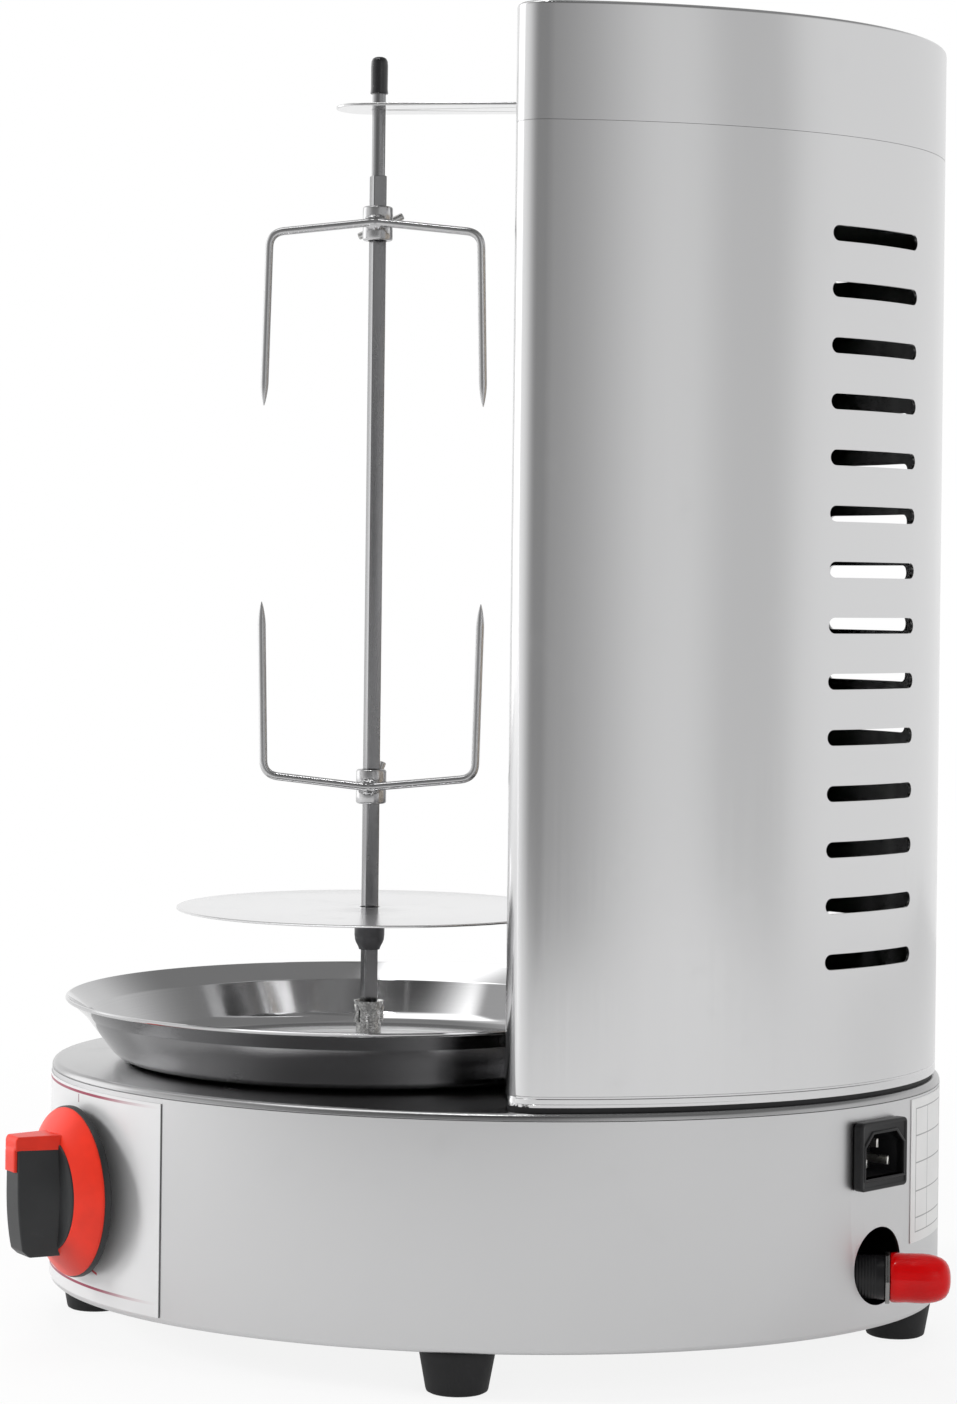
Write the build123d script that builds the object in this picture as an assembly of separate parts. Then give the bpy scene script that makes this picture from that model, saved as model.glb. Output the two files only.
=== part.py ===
from build123d import *
import os
from math import atan, cos, hypot, pi, radians, sin, sqrt

# A small upright gas broiler with a motor driven spit, in millimetres.
# The floor is z = 0, the oval base is centred on the origin, the front is at -Y and the tower at +Y.

# Oval base
base_half_length = 185.0
base_half_width = 144.0
base_height = 91.0
sheet = 1.2
drum_flange = 34.0
vent_y = 60.0
vent_pitch = 14.0
vent_length = 60.0
vent_width = 5.0
deck_edge = 3.0
deck_roll = 2.5

# Feet
foot_height = 17.5
foot_top_radius = 15.0
foot_bottom_radius = 12.0
foot_inset = 17.0
foot_screw_radius = 2.5
foot_screw_head = 4.6
foot_recess = 6.0

# Front overlay and rating plate
overlay = 0.5
glue = 0.05
panel_edge_y = 66.3 - base_half_length
panel_bottom_margin = 2.6
panel_top_margin = 5.0
plate_left_x = 52.5
plate_right_x = 11.0
plate_low = 29.8
plate_high = 87.0

# Spit axis and drip tray
tray_side_margin = 17.5
tray_front_margin = 5.5
tray_radius = base_half_width - tray_side_margin
spit_y = tray_radius + tray_front_margin - base_half_length
tray_floor_radius = tray_radius - 22.5
tray_wall_radius = tray_radius - 8.3
tray_wall_height = 18.9
tray_floor_bend = 8.0
tray_rim_bend = 5.0
tray_height = 26.5
tray_sheet = 0.9
tray_rim_wire = 1.1
tray_chimney_radius = 9.0
tray_chimney_height = 9.0

# Spit, disc and forks
spit_side = 5.8
spit_turn = 27.0
spit_rod_radius = 2.8
spit_seat_height = 10.0
spit_shoulder_height = 370.2
spit_top_height = spit_shoulder_height + 48.3
end_cap_radius = 3.7
end_cap_length = 15.7
end_cap_dome = 2.4
disc_radius = 81.0
disc_sheet = 1.0
disc_height = 63.3
hub_radius = 6.3
hub_neck_radius = 4.5
hub_height = 16.8
slide_clearance = 0.1
running_clearance = 0.05
wall_clearance = 0.3

collar_radius = 6.35
collar_height = 14.3
wire_radius = 1.7
fork_half_span = 44.5
fork_arm_drop = 4.5
fork_tine_length = 68.0
fork_point_length = 9.0
fork_spread = 1.5
fork_bend = 7.0
upper_collar_height = spit_shoulder_height - 27.3
lower_collar_height = 106.7
clamp_screw_radius = 2.5
clamp_head_radius = 3.6
clamp_head_length = 4.5
clamp_gap = 1.0
clamp_bar_radius = 1.5
clamp_bar_length = 21.0
upper_bar_turn = 65.0
lower_bar_turn = 20.0

# Drive: a small motor, one pair of gears and the socket that the spit stands in
gear_module = 1.0
pinion_teeth = 14
wheel_teeth = 56
gear_face = 8.0
tooth_height_factor = 0.8
root_depth_factor = 1.1
backlash = 0.25
pressure_angle = 20.0
shaft_radius = 4.0
pinion_shaft_radius = 2.0
socket_radius = 5.3
socket_mouth_radius = 6.35
socket_height = 24.0
socket_flare = 3.0
gearbox_wall = 2.0
gearbox_room = 18.0
gearbox_below_deck = 3.3
gearbox_post = 4.5
gearbox_screw_radius = 1.5
gearbox_screw_head = 3.0
bush_wall = 2.4
motor_radius = 23.0
motor_height = 36.0
rotor_radius = 15.0
rotor_height = 24.0

# Gas valves and knobs, each in a frame with its third axis pointing out of the drum
knob_heading = 38.5
knob_height = 45.4
valve_radius = 11.0
valve_length = 38.0
valve_neck_radius = 6.5
valve_neck_out = 2.4
valve_nut_flats = 17.0
valve_nut_thickness = 1.6
valve_chamber_radius = 7.0
valve_chamber_top = -12.0
valve_chamber_bottom = -30.0
stem_radius = 3.0
plunger_thickness = 3.0
knob_push = 3.0
spring_wire = 0.6
spring_coil_radius = 4.8
spring_turns = 4
skirt_radius = 34.0
skirt_gap = 3.9
skirt_thickness = 2.9
skirt_web = 0.8
skirt_recess_radius = 27.0
ring_inner_radius = 22.5
ring_outer_radius = 33.4
ring_thickness = 0.8
ring_rise = 8.2
grip_width = 15.0
grip_length = 48.0
grip_reach = 32.4
grip_bevel = 1.5
pointer_depth = 5.5
pointer_drop = 14.0

# Gas pipes and the inlet at the back
pipe_radius = 5.0
pipe_bore = 3.6
pipe_bend = 14.0
manifold_y = 73.0 - base_half_length
manifold_side_x = base_half_width - 46.0
manifold_overrun = 9.0
manifold_drop_y = spit_y - 7.0
manifold_low_y = spit_y + 53.0
manifold_slant = 28.0
manifold_last_run = 32.0
gas_x = base_half_width - 71.0
gas_height = 20.3
gas_hole_radius = 15.3
gas_hole_shift = 0.8
gas_hole_rise = 4.2
fitting_radius = 8.6
fitting_front_y = base_half_length * sqrt(1 - (gas_x / base_half_width) ** 2) + 3.0
fitting_back_y = fitting_front_y - 22.5
inlet_nut_flats = 18.6
inlet_nut_thickness = 3.8
spigot_radius = 7.8
gas_cap_radius = 9.7
gas_cap_end_y = fitting_front_y + 25.5
gas_cap_round = 4.5
tube_radius = 4.0
tube_bore = 3.0
tube_bend = 6.5
tube_run_height = 70.5
tube_slant = 69.0
tube_low_height = 48.0
tube_drop_y = manifold_drop_y + 10.0

# Mains inlet
inlet_heading = 52.3
inlet_height = 69.0
inlet_width = 30.0
inlet_tall = 29.0
inlet_flange = 6.0
inlet_corner = 2.5
inlet_body_width = 27.0
inlet_body_tall = 24.0
inlet_body_depth = 24.0
inlet_mouth_width = 24.4
inlet_mouth_tall = 17.2
inlet_mouth_chamfer = 5.0
inlet_mouth_depth = 17.0
pin_width = 2.0
pin_tall = 4.6
pin_length = 14.0
pin_spacing = 7.0
pin_drop = 3.5
earth_pin_rise = 4.0

# Tower
bracket_height = spit_shoulder_height + 27.7
tower_inset = 2.0
tower_gap = 1.8
tower_height = bracket_height + 22.1
tower_hood_height = 45.3
tower_shell_height = tower_height - tower_gap - tower_hood_height
tower_front_y = spit_y + 70.0
tower_half_width = base_half_width - tower_inset
tower_half_length = base_half_length - tower_inset
tower_corner = 12.0
recess_mouth_x = tower_half_width - 26.0
recess_back_x = recess_mouth_x - 50.0
recess_back_y = spit_y + tray_radius + 10.5
gasket_width = 11.0
gasket_inset = 1.0
hood_edge = 1.0
slot_count = 14
slot_length = 54.0
slot_width = 6.2
slot_heading = 51.5
slot_first_height = 145.0
slot_top_margin = 37.8
slot_pitch = (base_height + tower_gap + tower_shell_height - slot_top_margin - slot_first_height) / (slot_count - 1)
tower_screw_radius = 2.0
screw_head_height = 2.6
nut_height = 3.2
tower_screw_way = 0.64
tower_back_screw_share = 0.62

# Burners behind the recess
panel_sheet = 1.0
panel_lip = 10.0
burner_width = 2 * recess_back_x - 16.0
burner_depth = 32.0
burner_wall = 1.0
burner_low_height = 42.0
burner_gap = 15.0
burner_top_margin = 15.9
burner_tall = (tower_shell_height - burner_low_height - burner_gap - burner_top_margin) / 2
burner_spacing = burner_tall + burner_gap
tube_rise_x = burner_width / 2 - 18.0
tube_rise_y = recess_back_y + panel_sheet + burner_depth + 12.0
burner_neck_radius = 8.0
burner_neck_length = 4.0
window_margin = 5.0
plaque_margin = 1.0
plaque_thickness = 13.0
plaque_forward = 2.5
ledge_width = 6.0
mesh_wire = 0.7
mesh_pitch = 12.0
mesh_frame = 3.0
mesh_standoff = 5.5
mesh_thickness = 2.0

# Top bracket
bracket_width = 28.0
bracket_sheet = 1.2
bracket_tip_y = spit_y - 18.0
bracket_hole_clearance = 0.3
bracket_drop = 16.0
bracket_screw_radius = 2.0
bracket_screw_spacing = 14.0

z_base = foot_height
z_deck = foot_height + base_height
z_tower = z_deck + tower_gap
z_tower_top = z_tower + tower_height - tower_gap
z_seam = z_tower_top - tower_hood_height
z_knob = z_base + knob_height
z_gas = z_base + gas_height
pinion_pitch_radius = gear_module * pinion_teeth / 2
wheel_pitch_radius = gear_module * wheel_teeth / 2
pinion_y = spit_y + pinion_pitch_radius + wheel_pitch_radius
z_box_top = z_deck - sheet - gearbox_below_deck
z_box_floor = z_box_top - gearbox_wall - gearbox_room
z_gear = z_box_floor + (gearbox_room - gear_face) / 2 - 3.0
reflector_y = recess_back_y + panel_sheet / 2
CENTRED_UP = (Align.CENTER, Align.CENTER, Align.MIN)


def rod(radius, z0, z1, x=0.0, y=0.0):
    return Pos(x, y, z0) * Cylinder(radius, z1 - z0, align=CENTRED_UP)


def ring(outer, inner, z0, z1, x=0.0, y=0.0):
    return rod(outer, z0, z1, x, y) - rod(inner, z0 - 1, z1 + 1, x, y)


def block(width, depth, z0, z1, x=0.0, y=0.0):
    return Pos(x, y, z0) * Box(width, depth, z1 - z0, align=CENTRED_UP)


def hexagon(flats, z0, z1):
    return extrude(Pos(0, 0, z0) * RegularPolygon(flats / 2, 6, major_radius=False), z1 - z0)


def turned(points):
    # a solid of revolution about Z from (radius, height) points
    return revolve(Plane.XZ * make_face(Polyline(*points, close=True)), Axis.Z)


def oval(grow, z0, z1):
    return extrude(Pos(0, 0, z0) * Ellipse(base_half_width + grow, base_half_length + grow), z1 - z0)


def wall_plane(heading, z, half_width=base_half_width, half_length=base_half_length):
    # the plane that touches an upright oval wall where its outward normal has this heading from +X
    c, s = cos(radians(heading)), sin(radians(heading))
    reach = hypot(half_width * c, half_length * s)
    origin = (half_width ** 2 * c / reach, half_length ** 2 * s / reach, z)
    return Plane(origin=origin, x_dir=(-s, c, 0), z_dir=(c, s, 0))


def pipe(points, radius, bore, bends):
    path = FilletPolyline(*points, radius=bends)
    start = Plane(origin=path @ 0, z_dir=path % 0)
    outer = sweep(start * Circle(radius), path)
    inner = sweep(start * Circle(bore), path)
    return outer - inner


def knob_plane(side):
    return wall_plane(-90 + side * knob_heading, z_knob)


def mains_plane():
    return wall_plane(inlet_heading, z_base + inlet_height)


def gas_hole():
    x = gas_x - gas_hole_shift
    y = base_half_length * sqrt(1 - (x / base_half_width) ** 2)
    heading = Vector(x / base_half_width ** 2, y / base_half_length ** 2, 0)
    place = Plane(origin=(x, y, z_gas + gas_hole_rise), z_dir=heading)
    return place * Cylinder(gas_hole_radius, 30)


def foot_places():
    x = base_half_width - foot_inset
    y = base_half_length - foot_inset
    return [(x, 0), (-x, 0), (0, y), (0, -y)]


def tower_screw_places():
    # one beside the recess, midway in its corner, and one behind it
    y = tower_front_y + tower_screw_way * (recess_back_y - tower_front_y)
    inner = recess_mouth_x - tower_screw_way * (recess_mouth_x - recess_back_x)
    outer = tower_half_width * sqrt(1 - (y / tower_half_length) ** 2)
    back_y = (recess_back_y + tower_half_length) / 2
    back_x = tower_back_screw_share * tower_half_width * sqrt(1 - (back_y / tower_half_length) ** 2)
    return [((inner + outer) / 2, y), (back_x, back_y)]


def gearbox_places():
    x = wheel_pitch_radius - 1.0
    return [(side * x, y) for side in (-1, 1) for y in (spit_y - 27.0, pinion_y + 6.0)]


# Base

def base_drum():
    wall = oval(0, z_base, z_deck - deck_edge) - oval(-sheet, z_base + sheet, z_deck)
    drum = wall - oval(-drum_flange, z_base - 1, z_base + 2 * sheet)
    for x, y in foot_places():
        drum -= rod(foot_screw_radius + slide_clearance, z_base - 1, z_base + 2 * sheet, x, y)
    for side in (-1, 1):
        drum -= knob_plane(side) * rod(valve_neck_radius + wall_clearance, -8, 4)
    drum -= gas_hole()
    hole = block(inlet_body_width + 1, inlet_body_tall + 1, -8, 8)
    return drum - mains_plane() * hole


def base_top_plate():
    plate = oval(0, z_deck - deck_edge, z_deck)
    rim = plate.edges().group_by(Axis.Z)[-1]
    plate = fillet(rim, deck_roll)
    plate -= oval(-deck_roll, z_deck - deck_edge - 1, z_deck - sheet)
    plate -= rod(shaft_radius + bush_wall + wall_clearance, z_deck - 9, z_deck + 1, 0, spit_y)
    for x, y in gearbox_places():
        plate -= Pos(x, y, z_deck) * countersink(slide_clearance)
    for side in (-1, 1):
        plate -= rod(tube_radius + 2, z_deck - 9, z_deck + 1, side * tube_rise_x, tube_rise_y)
        for x, y in tower_screw_places():
            plate -= rod(tower_screw_radius + slide_clearance, z_deck - 9, z_deck + 1, side * x, y)
    return plate


def base_bottom_plate():
    plate = oval(-sheet - wall_clearance, z_base + sheet, z_base + 2 * sheet)
    for x, y in foot_places():
        plate -= rod(foot_screw_radius + slide_clearance, z_base - 1, z_base + 9, x, y)
    for row in range(-2, 3):
        y = vent_y + vent_pitch * row
        plate -= extrude(Pos(0, y, z_base) * SlotOverall(vent_length, vent_width), 3 * sheet)
    return plate


def control_panel():
    low = z_base + panel_bottom_margin
    high = z_deck - panel_top_margin
    skin = oval(glue + overlay, low, high) - oval(glue, low - 1, high + 1)
    reach = base_half_length + 20
    skin = skin & Pos(0, panel_edge_y - reach / 2, 0) * Box(4 * base_half_width, reach, 4 * z_deck)
    for side in (-1, 1):
        skin -= knob_plane(side) * rod(valve_neck_radius + wall_clearance, -8, 4)
    return skin


def rating_plate():
    skin = oval(glue + overlay, z_base + plate_low, z_base + plate_high) - oval(glue, 0, z_deck)
    width = plate_left_x - plate_right_x
    middle = (plate_left_x + plate_right_x) / 2
    return skin & Pos(middle, base_half_length, 0) * Box(width, base_half_length, 4 * z_deck)


def rubber_feet():
    feet = []
    for x, y in foot_places():
        foot = Pos(x, y, 0) * Cone(foot_bottom_radius, foot_top_radius, foot_height, align=CENTRED_UP)
        foot -= rod(foot_screw_head + 1, -1, foot_recess, x, y)
        feet.append(foot - rod(foot_screw_radius + slide_clearance, 0, foot_height + 1, x, y))
    return Compound(children=feet)


def foot_screws():
    top = z_base + 2 * sheet
    screws = []
    for x, y in foot_places():
        head = rod(foot_screw_head, foot_recess - 3.0, foot_recess)
        nut = hexagon(2 * foot_screw_head - 1, top, top + 4)
        shank = rod(foot_screw_radius, foot_recess - 0.5, top + 5.5)
        cut = block(1.2, 2 * foot_screw_head + 1, foot_recess - 3.5, foot_recess - 2.2)
        screws.append(Pos(x, y, 0) * (head + shank + nut - cut))
    return Compound(children=screws)


# Mains inlet

def mains_mouth():
    half_w, half_t, c = inlet_mouth_width / 2, inlet_mouth_tall / 2, inlet_mouth_chamfer
    return make_face(Polyline((-half_w, -half_t), (half_w, -half_t), (half_w, half_t - c),
                              (half_w - c, half_t), (c - half_w, half_t), (-half_w, half_t - c), close=True))


def mains_inlet():
    flange = extrude(Pos(0, 0, wall_clearance) * RectangleRounded(inlet_width, inlet_tall, inlet_corner),
                     inlet_flange)
    flange = chamfer(flange.edges().group_by(Axis.Z)[-1], 0.6)
    body = block(inlet_body_width, inlet_body_tall, -inlet_body_depth, wall_clearance)
    front = wall_clearance + inlet_flange
    mouth = extrude(Pos(0, 0, front - inlet_mouth_depth) * mains_mouth(), inlet_mouth_depth + 1)
    return mains_plane() * (flange + body - mouth)


def mains_inlet_pins():
    back = wall_clearance + inlet_flange - inlet_mouth_depth
    pins = []
    for x, y in ((-pin_spacing, -pin_drop), (pin_spacing, -pin_drop), (0, earth_pin_rise)):
        pins.append(mains_plane() * block(pin_width, pin_tall, back, back + pin_length, x, y))
    return Compound(children=pins)


# Drive

def gear(teeth, bore, z0, z1):
    pitch = gear_module * teeth / 2
    base = pitch * cos(radians(pressure_angle))
    tip = pitch + tooth_height_factor * gear_module
    root = pitch - root_depth_factor * gear_module

    def involute(radius):
        if radius <= base:
            return 0.0
        t = sqrt((radius / base) ** 2 - 1)
        return t - atan(t)

    half = pi / (2 * teeth) - backlash / (2 * pitch) + involute(pitch)
    flank = [max(base, root) + (tip - max(base, root)) * k / 4 for k in range(5)]
    outline = []
    for tooth in range(teeth):
        middle = 2 * pi * tooth / teeth
        rising = [(root, -half)] + [(r, involute(r) - half) for r in flank]
        falling = [(r, -a) for r, a in reversed(rising)]
        for r, a in rising + falling:
            outline.append((r * cos(middle + a), r * sin(middle + a)))
    blank = extrude(Pos(0, 0, z0) * make_face(Polyline(*outline, close=True)), z1 - z0)
    return blank - rod(bore, z0 - 1, z1 + 1)


def output_gear():
    wheel = gear(wheel_teeth, shaft_radius + 0.02, z_gear, z_gear + gear_face)
    web = ring(wheel_pitch_radius - 4, shaft_radius + 4, z_gear + gear_face - 2.5, z_gear + gear_face + 1)
    return Pos(0, spit_y, 0) * (wheel - web)


def motor_pinion():
    shaft = rod(pinion_shaft_radius, z_box_floor - gearbox_wall - motor_height + 2.5, z_box_top - gearbox_wall - 1)
    teeth = gear(pinion_teeth, pinion_shaft_radius - 0.5, z_gear, z_gear + gear_face)
    return Pos(0, pinion_y, 0) * (shaft + teeth)


def motor_rotor():
    middle = z_box_floor - gearbox_wall - motor_height / 2
    core = ring(rotor_radius, pinion_shaft_radius + 0.02, middle - rotor_height / 2, middle + rotor_height / 2)
    return Pos(0, pinion_y, 0) * core


def motor_can():
    top = z_box_floor - gearbox_wall
    can = rod(motor_radius, top - motor_height, top)
    can = fillet(can.edges().group_by(Axis.Z)[0], 2.0)
    can -= rod(motor_radius - sheet, top - motor_height + sheet, top - sheet)
    can -= rod(pinion_shaft_radius + running_clearance, top - 2 * sheet, top + 1)
    return Pos(0, pinion_y, 0) * can


def gearbox_outline(z0, z1, grow=0.0):
    half_x = wheel_pitch_radius + 3.0 + grow
    front = spit_y - wheel_pitch_radius - 3.0 - grow
    back = pinion_y + pinion_pitch_radius + 3.0 + grow
    return block(2 * half_x, back - front, z0, z1, 0, (front + back) / 2)


def gearbox_case():
    low = z_box_floor - gearbox_wall
    case = gearbox_outline(low, z_box_top - gearbox_wall, gearbox_wall) - gearbox_outline(z_box_floor, z_deck)
    for x, y in gearbox_places():
        case += rod(gearbox_post, low, z_box_top - gearbox_wall, x, y)
        case -= rod(gearbox_screw_radius + slide_clearance, low - 1, z_deck, x, y)
    case -= rod(shaft_radius + running_clearance, low - 1, z_box_floor + 1, 0, spit_y)
    return case - rod(pinion_shaft_radius + running_clearance, low - 1, z_box_floor + 1, 0, pinion_y)


def gearbox_lid():
    lid = gearbox_outline(z_box_top - gearbox_wall, z_box_top, gearbox_wall)
    for x, y in gearbox_places():
        lid += rod(gearbox_post, z_box_top, z_deck - sheet, x, y)
        lid -= rod(gearbox_screw_radius + slide_clearance, 0, z_deck, x, y)
    return lid - rod(shaft_radius + bush_wall + 0.02, 0, z_deck, 0, spit_y)


def countersink(grow=0.0):
    r, head = gearbox_screw_radius + grow, gearbox_screw_head + grow
    cone = Pos(0, 0, -sheet) * Cone(r, head, sheet, align=CENTRED_UP)
    return cone + rod(r, -sheet - 9, -sheet)


def gearbox_screws():
    low = z_box_floor + 2.0 - z_deck
    screw = countersink() + rod(gearbox_screw_radius, low, -sheet)
    screw -= block(0.8, 2 * gearbox_screw_head, -0.6, 1)
    return Compound(children=[Pos(x, y, z_deck) * screw for x, y in gearbox_places()])


def shaft_bush():
    outer = shaft_radius + bush_wall
    bush = rod(outer, z_box_top - gearbox_wall, z_deck) + rod(outer + 1.5, z_box_top, z_box_top + 1.5)
    return Pos(0, spit_y, 0) * (bush - rod(shaft_radius + running_clearance, 0, z_deck + 1))


def drive_socket():
    top = z_deck + socket_height
    low = z_deck + 1.0
    cup = turned([(0, low), (socket_radius, low), (socket_radius, top - socket_flare),
                  (socket_mouth_radius, top), (0, top)])
    cup = cup + rod(shaft_radius, z_box_floor - gearbox_wall + 0.5, low + 1)
    bore = spit_side + 2 * slide_clearance
    hole = block(bore, bore, z_deck + spit_seat_height, top + 1)
    mouth = Pos(0, 0, top - socket_flare) * Cone(spit_side / 2, socket_mouth_radius - 0.6, socket_flare + 0.1,
                                                 align=CENTRED_UP)
    return Pos(0, spit_y, 0) * Rot(0, 0, spit_turn) * (cup - hole - mouth)


# Spit and what it carries

def at_spit(shape):
    return Pos(0, spit_y, 0) * Rot(0, 0, spit_turn) * shape


def spit_bar():
    low = z_deck + spit_seat_height
    shoulder = z_deck + spit_shoulder_height
    bar = block(spit_side, spit_side, low, shoulder)
    bar = chamfer(bar.edges().group_by(Axis.Z)[0], 0.8)
    tip = rod(spit_rod_radius, shoulder - 1, z_deck + spit_top_height)
    return at_spit(bar + tip)


def spit_end_cap():
    top = z_deck + spit_top_height + 1.7
    cap = rod(end_cap_radius, top - end_cap_length, top)
    cap = fillet(cap.edges().group_by(Axis.Z)[-1], end_cap_dome)
    return at_spit(cap - rod(spit_rod_radius + 0.02, top - end_cap_length - 1, z_deck + spit_top_height))


def square_bore(z0, z1):
    side = spit_side + 2 * 0.02
    return block(side, side, z0, z1)


def meat_disc():
    low = z_deck + disc_height
    disc = rod(disc_radius, low - disc_sheet, low)
    disc = fillet(disc.edges().group_by(Axis.Z)[-1], 0.4)
    return at_spit(disc - square_bore(low - 3, low + 1))


def disc_hub():
    top = z_deck + disc_height - disc_sheet
    low = top - hub_height
    side = Spline((hub_radius, top - 2.0), (0.55 * hub_radius + 0.45 * hub_neck_radius, top - hub_height / 2),
                  (hub_neck_radius, low), tangents=((0, -1), (-0.1, -1)))
    outline = side + Line((hub_neck_radius, low), (0, low)) + Line((0, low), (0, top))
    outline += Line((0, top), (hub_radius, top)) + Line((hub_radius, top), (hub_radius, top - 2.0))
    hub = revolve(Plane.XZ * make_face(outline), Axis.Z)
    return at_spit(hub - square_bore(low - 1, top + 1))


def fork_wire(tines_up):
    # one wire: up one tine, across the front of the collar and down the other tine
    way = 1 if tines_up else -1
    x = collar_radius + wire_radius - 0.25
    reach = fork_half_span
    tip = way * fork_tine_length
    arm = way * fork_arm_drop
    points = [(x, -reach - fork_spread, tip), (x, -reach, arm), (x, 0, 0), (x, reach, arm),
              (x, reach + fork_spread, tip)]
    path = FilletPolyline(*points, radius=[fork_bend, 4 * fork_bend, fork_bend])
    wire = sweep(Plane(origin=path @ 0, z_dir=path % 0) * Circle(wire_radius), path)
    for side in (-1, 1):
        lean = Vector(0, side * fork_spread, tip - arm)
        tip_place = Plane(origin=(x, side * (reach + fork_spread), tip), z_dir=lean)
        wire += tip_place * Cone(wire_radius, 0.4, fork_point_length, align=CENTRED_UP)
    bead = Pos(x - 0.4, 0, 0) * Sphere(wire_radius + 0.8)
    return wire + bead


def fork(collar_height_above_deck, tines_up):
    low = z_deck + collar_height_above_deck
    middle = low + collar_height / 2
    bore = spit_side / sqrt(2) + slide_clearance
    collar = rod(collar_radius, low, low + collar_height)
    collar = chamfer(collar.edges().group_by(Axis.Z)[0] + collar.edges().group_by(Axis.Z)[-1], 0.5)
    wire = Pos(0, 0, middle) * fork_wire(tines_up)
    screw_hole = Pos(0, 0, middle) * Rot(0, -90, 0) * rod(clamp_screw_radius + running_clearance, 0, 20)
    return Pos(0, spit_y, 0) * (collar + wire - rod(bore, low - 1, low + collar_height + 1) - screw_hole)


def upper_fork():
    return fork(upper_collar_height, False)


def lower_fork():
    return fork(lower_collar_height, True)


def clamp_screw(collar_height_above_deck, bar_turn):
    # a screw with a cross bar, on the side of the collar away from the fork wire
    middle = z_deck + collar_height_above_deck + collar_height / 2
    start = spit_side / sqrt(2) + slide_clearance
    head = collar_radius + clamp_gap
    screw = rod(clamp_screw_radius, start, head + 0.5) + rod(clamp_head_radius, head, head + clamp_head_length)
    bar = Pos(0, 0, head + clamp_head_length / 2) * Rot(0, 90, 0) * rod(
        clamp_bar_radius, -clamp_bar_length / 2, clamp_bar_length / 2)
    screw = screw + Rot(0, 0, bar_turn) * bar
    return Pos(0, spit_y, middle) * Rot(0, -90, 0) * screw


def upper_clamp_screw():
    return clamp_screw(upper_collar_height, upper_bar_turn)


def lower_clamp_screw():
    return clamp_screw(lower_collar_height, lower_bar_turn)


# Drip tray

def drip_tray():
    floor = Line((0, 0), (tray_floor_radius - 6, 0))
    wall = FilletPolyline((tray_floor_radius - 6, 0), (tray_floor_radius, 0), (tray_wall_radius, tray_wall_height),
                          (tray_radius, tray_height), radius=[tray_floor_bend, tray_rim_bend])
    close = Line((tray_radius, tray_height), (0, tray_height)) + Line((0, tray_height), (0, 0))
    solid = revolve(Plane.XZ * make_face(floor + wall + close), Axis.Z)
    top = solid.faces().sort_by(Axis.Z)[-1]
    pan = offset(solid, amount=-tray_sheet, openings=top)
    pan += Pos(0, 0, tray_height - 0.4) * Torus(tray_radius - tray_rim_wire, tray_rim_wire)
    pan += rod(tray_chimney_radius + tray_sheet, 0, tray_chimney_height)
    pan -= rod(tray_chimney_radius, -5, tray_chimney_height + 1)
    return Pos(0, spit_y, z_deck) * pan


# Gas valves and knobs

def valve_body(side):
    body = rod(valve_radius, -valve_length - 2, -2) + rod(valve_neck_radius, -3, valve_neck_out)
    body -= rod(stem_radius + running_clearance, -40, valve_neck_out + 1) & rod(20, valve_chamber_bottom, 9)
    body -= rod(valve_chamber_radius, valve_chamber_bottom, valve_chamber_top)
    return knob_plane(side) * body


def valve_nut(side):
    low = overlay + glue + 0.1
    nut = hexagon(valve_nut_flats, low, low + valve_nut_thickness)
    return knob_plane(side) * (nut - rod(valve_neck_radius + 0.02, 0, 9))


def valve_nuts():
    return Compound(children=[valve_nut(-1), valve_nut(1)])


def valve_plunger(side):
    top = valve_chamber_top - wall_clearance
    disc = rod(valve_chamber_radius - running_clearance, top - plunger_thickness, top)
    return knob_plane(side) * (disc + rod(spring_coil_radius - 1.4, top - 6.5, top))


def valve_spring(side):
    room = valve_chamber_top - plunger_thickness - wall_clearance - knob_push - valve_chamber_bottom
    height = room - 2 * spring_wire - 0.4
    coil = Helix(height / spring_turns, height, spring_coil_radius)
    wire = sweep(Plane(origin=coil @ 0, z_dir=coil % 0) * Circle(spring_wire), coil)
    return knob_plane(side) * Pos(0, 0, valve_chamber_bottom + spring_wire) * wire


def valve_springs():
    return Compound(children=[valve_spring(-1), valve_spring(1)])


def valve_stem(side):
    stem = rod(stem_radius, valve_chamber_top - wall_clearance, grip_reach - 8)
    flat = block(9, 9, skirt_gap + 6, grip_reach, 0, stem_radius + 3.2)
    return knob_plane(side) * (stem - flat)


def pointer_shape():
    # the moulded pointer: a strip on top of the grip that folds down over its front end
    top = grip_length / 2
    face = skirt_gap + skirt_thickness
    strip = block(grip_width, pointer_depth, face - 0.5, grip_reach, 0, top - pointer_depth / 2)
    drop = block(grip_width, pointer_drop, grip_reach - 4.0, grip_reach, 0, top - pointer_drop / 2)
    return strip + drop


def grip_shape():
    face = skirt_gap + skirt_thickness
    bar = block(grip_width, grip_length, face - 0.5, grip_reach)
    return chamfer(bar.edges().group_by(Axis.Z)[-1], grip_bevel)


def trim_shape():
    # the red moulding: the sloping ring round the grip and the pointer in one piece
    face = skirt_gap + skirt_thickness
    collar = turned([(ring_inner_radius, face), (ring_outer_radius, face), (ring_outer_radius, face + ring_thickness),
                     (ring_inner_radius, face + ring_rise)])
    pointer = (pointer_shape() - rod(2 * ring_outer_radius, 0, face)) & grip_shape()
    return collar + pointer


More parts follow.
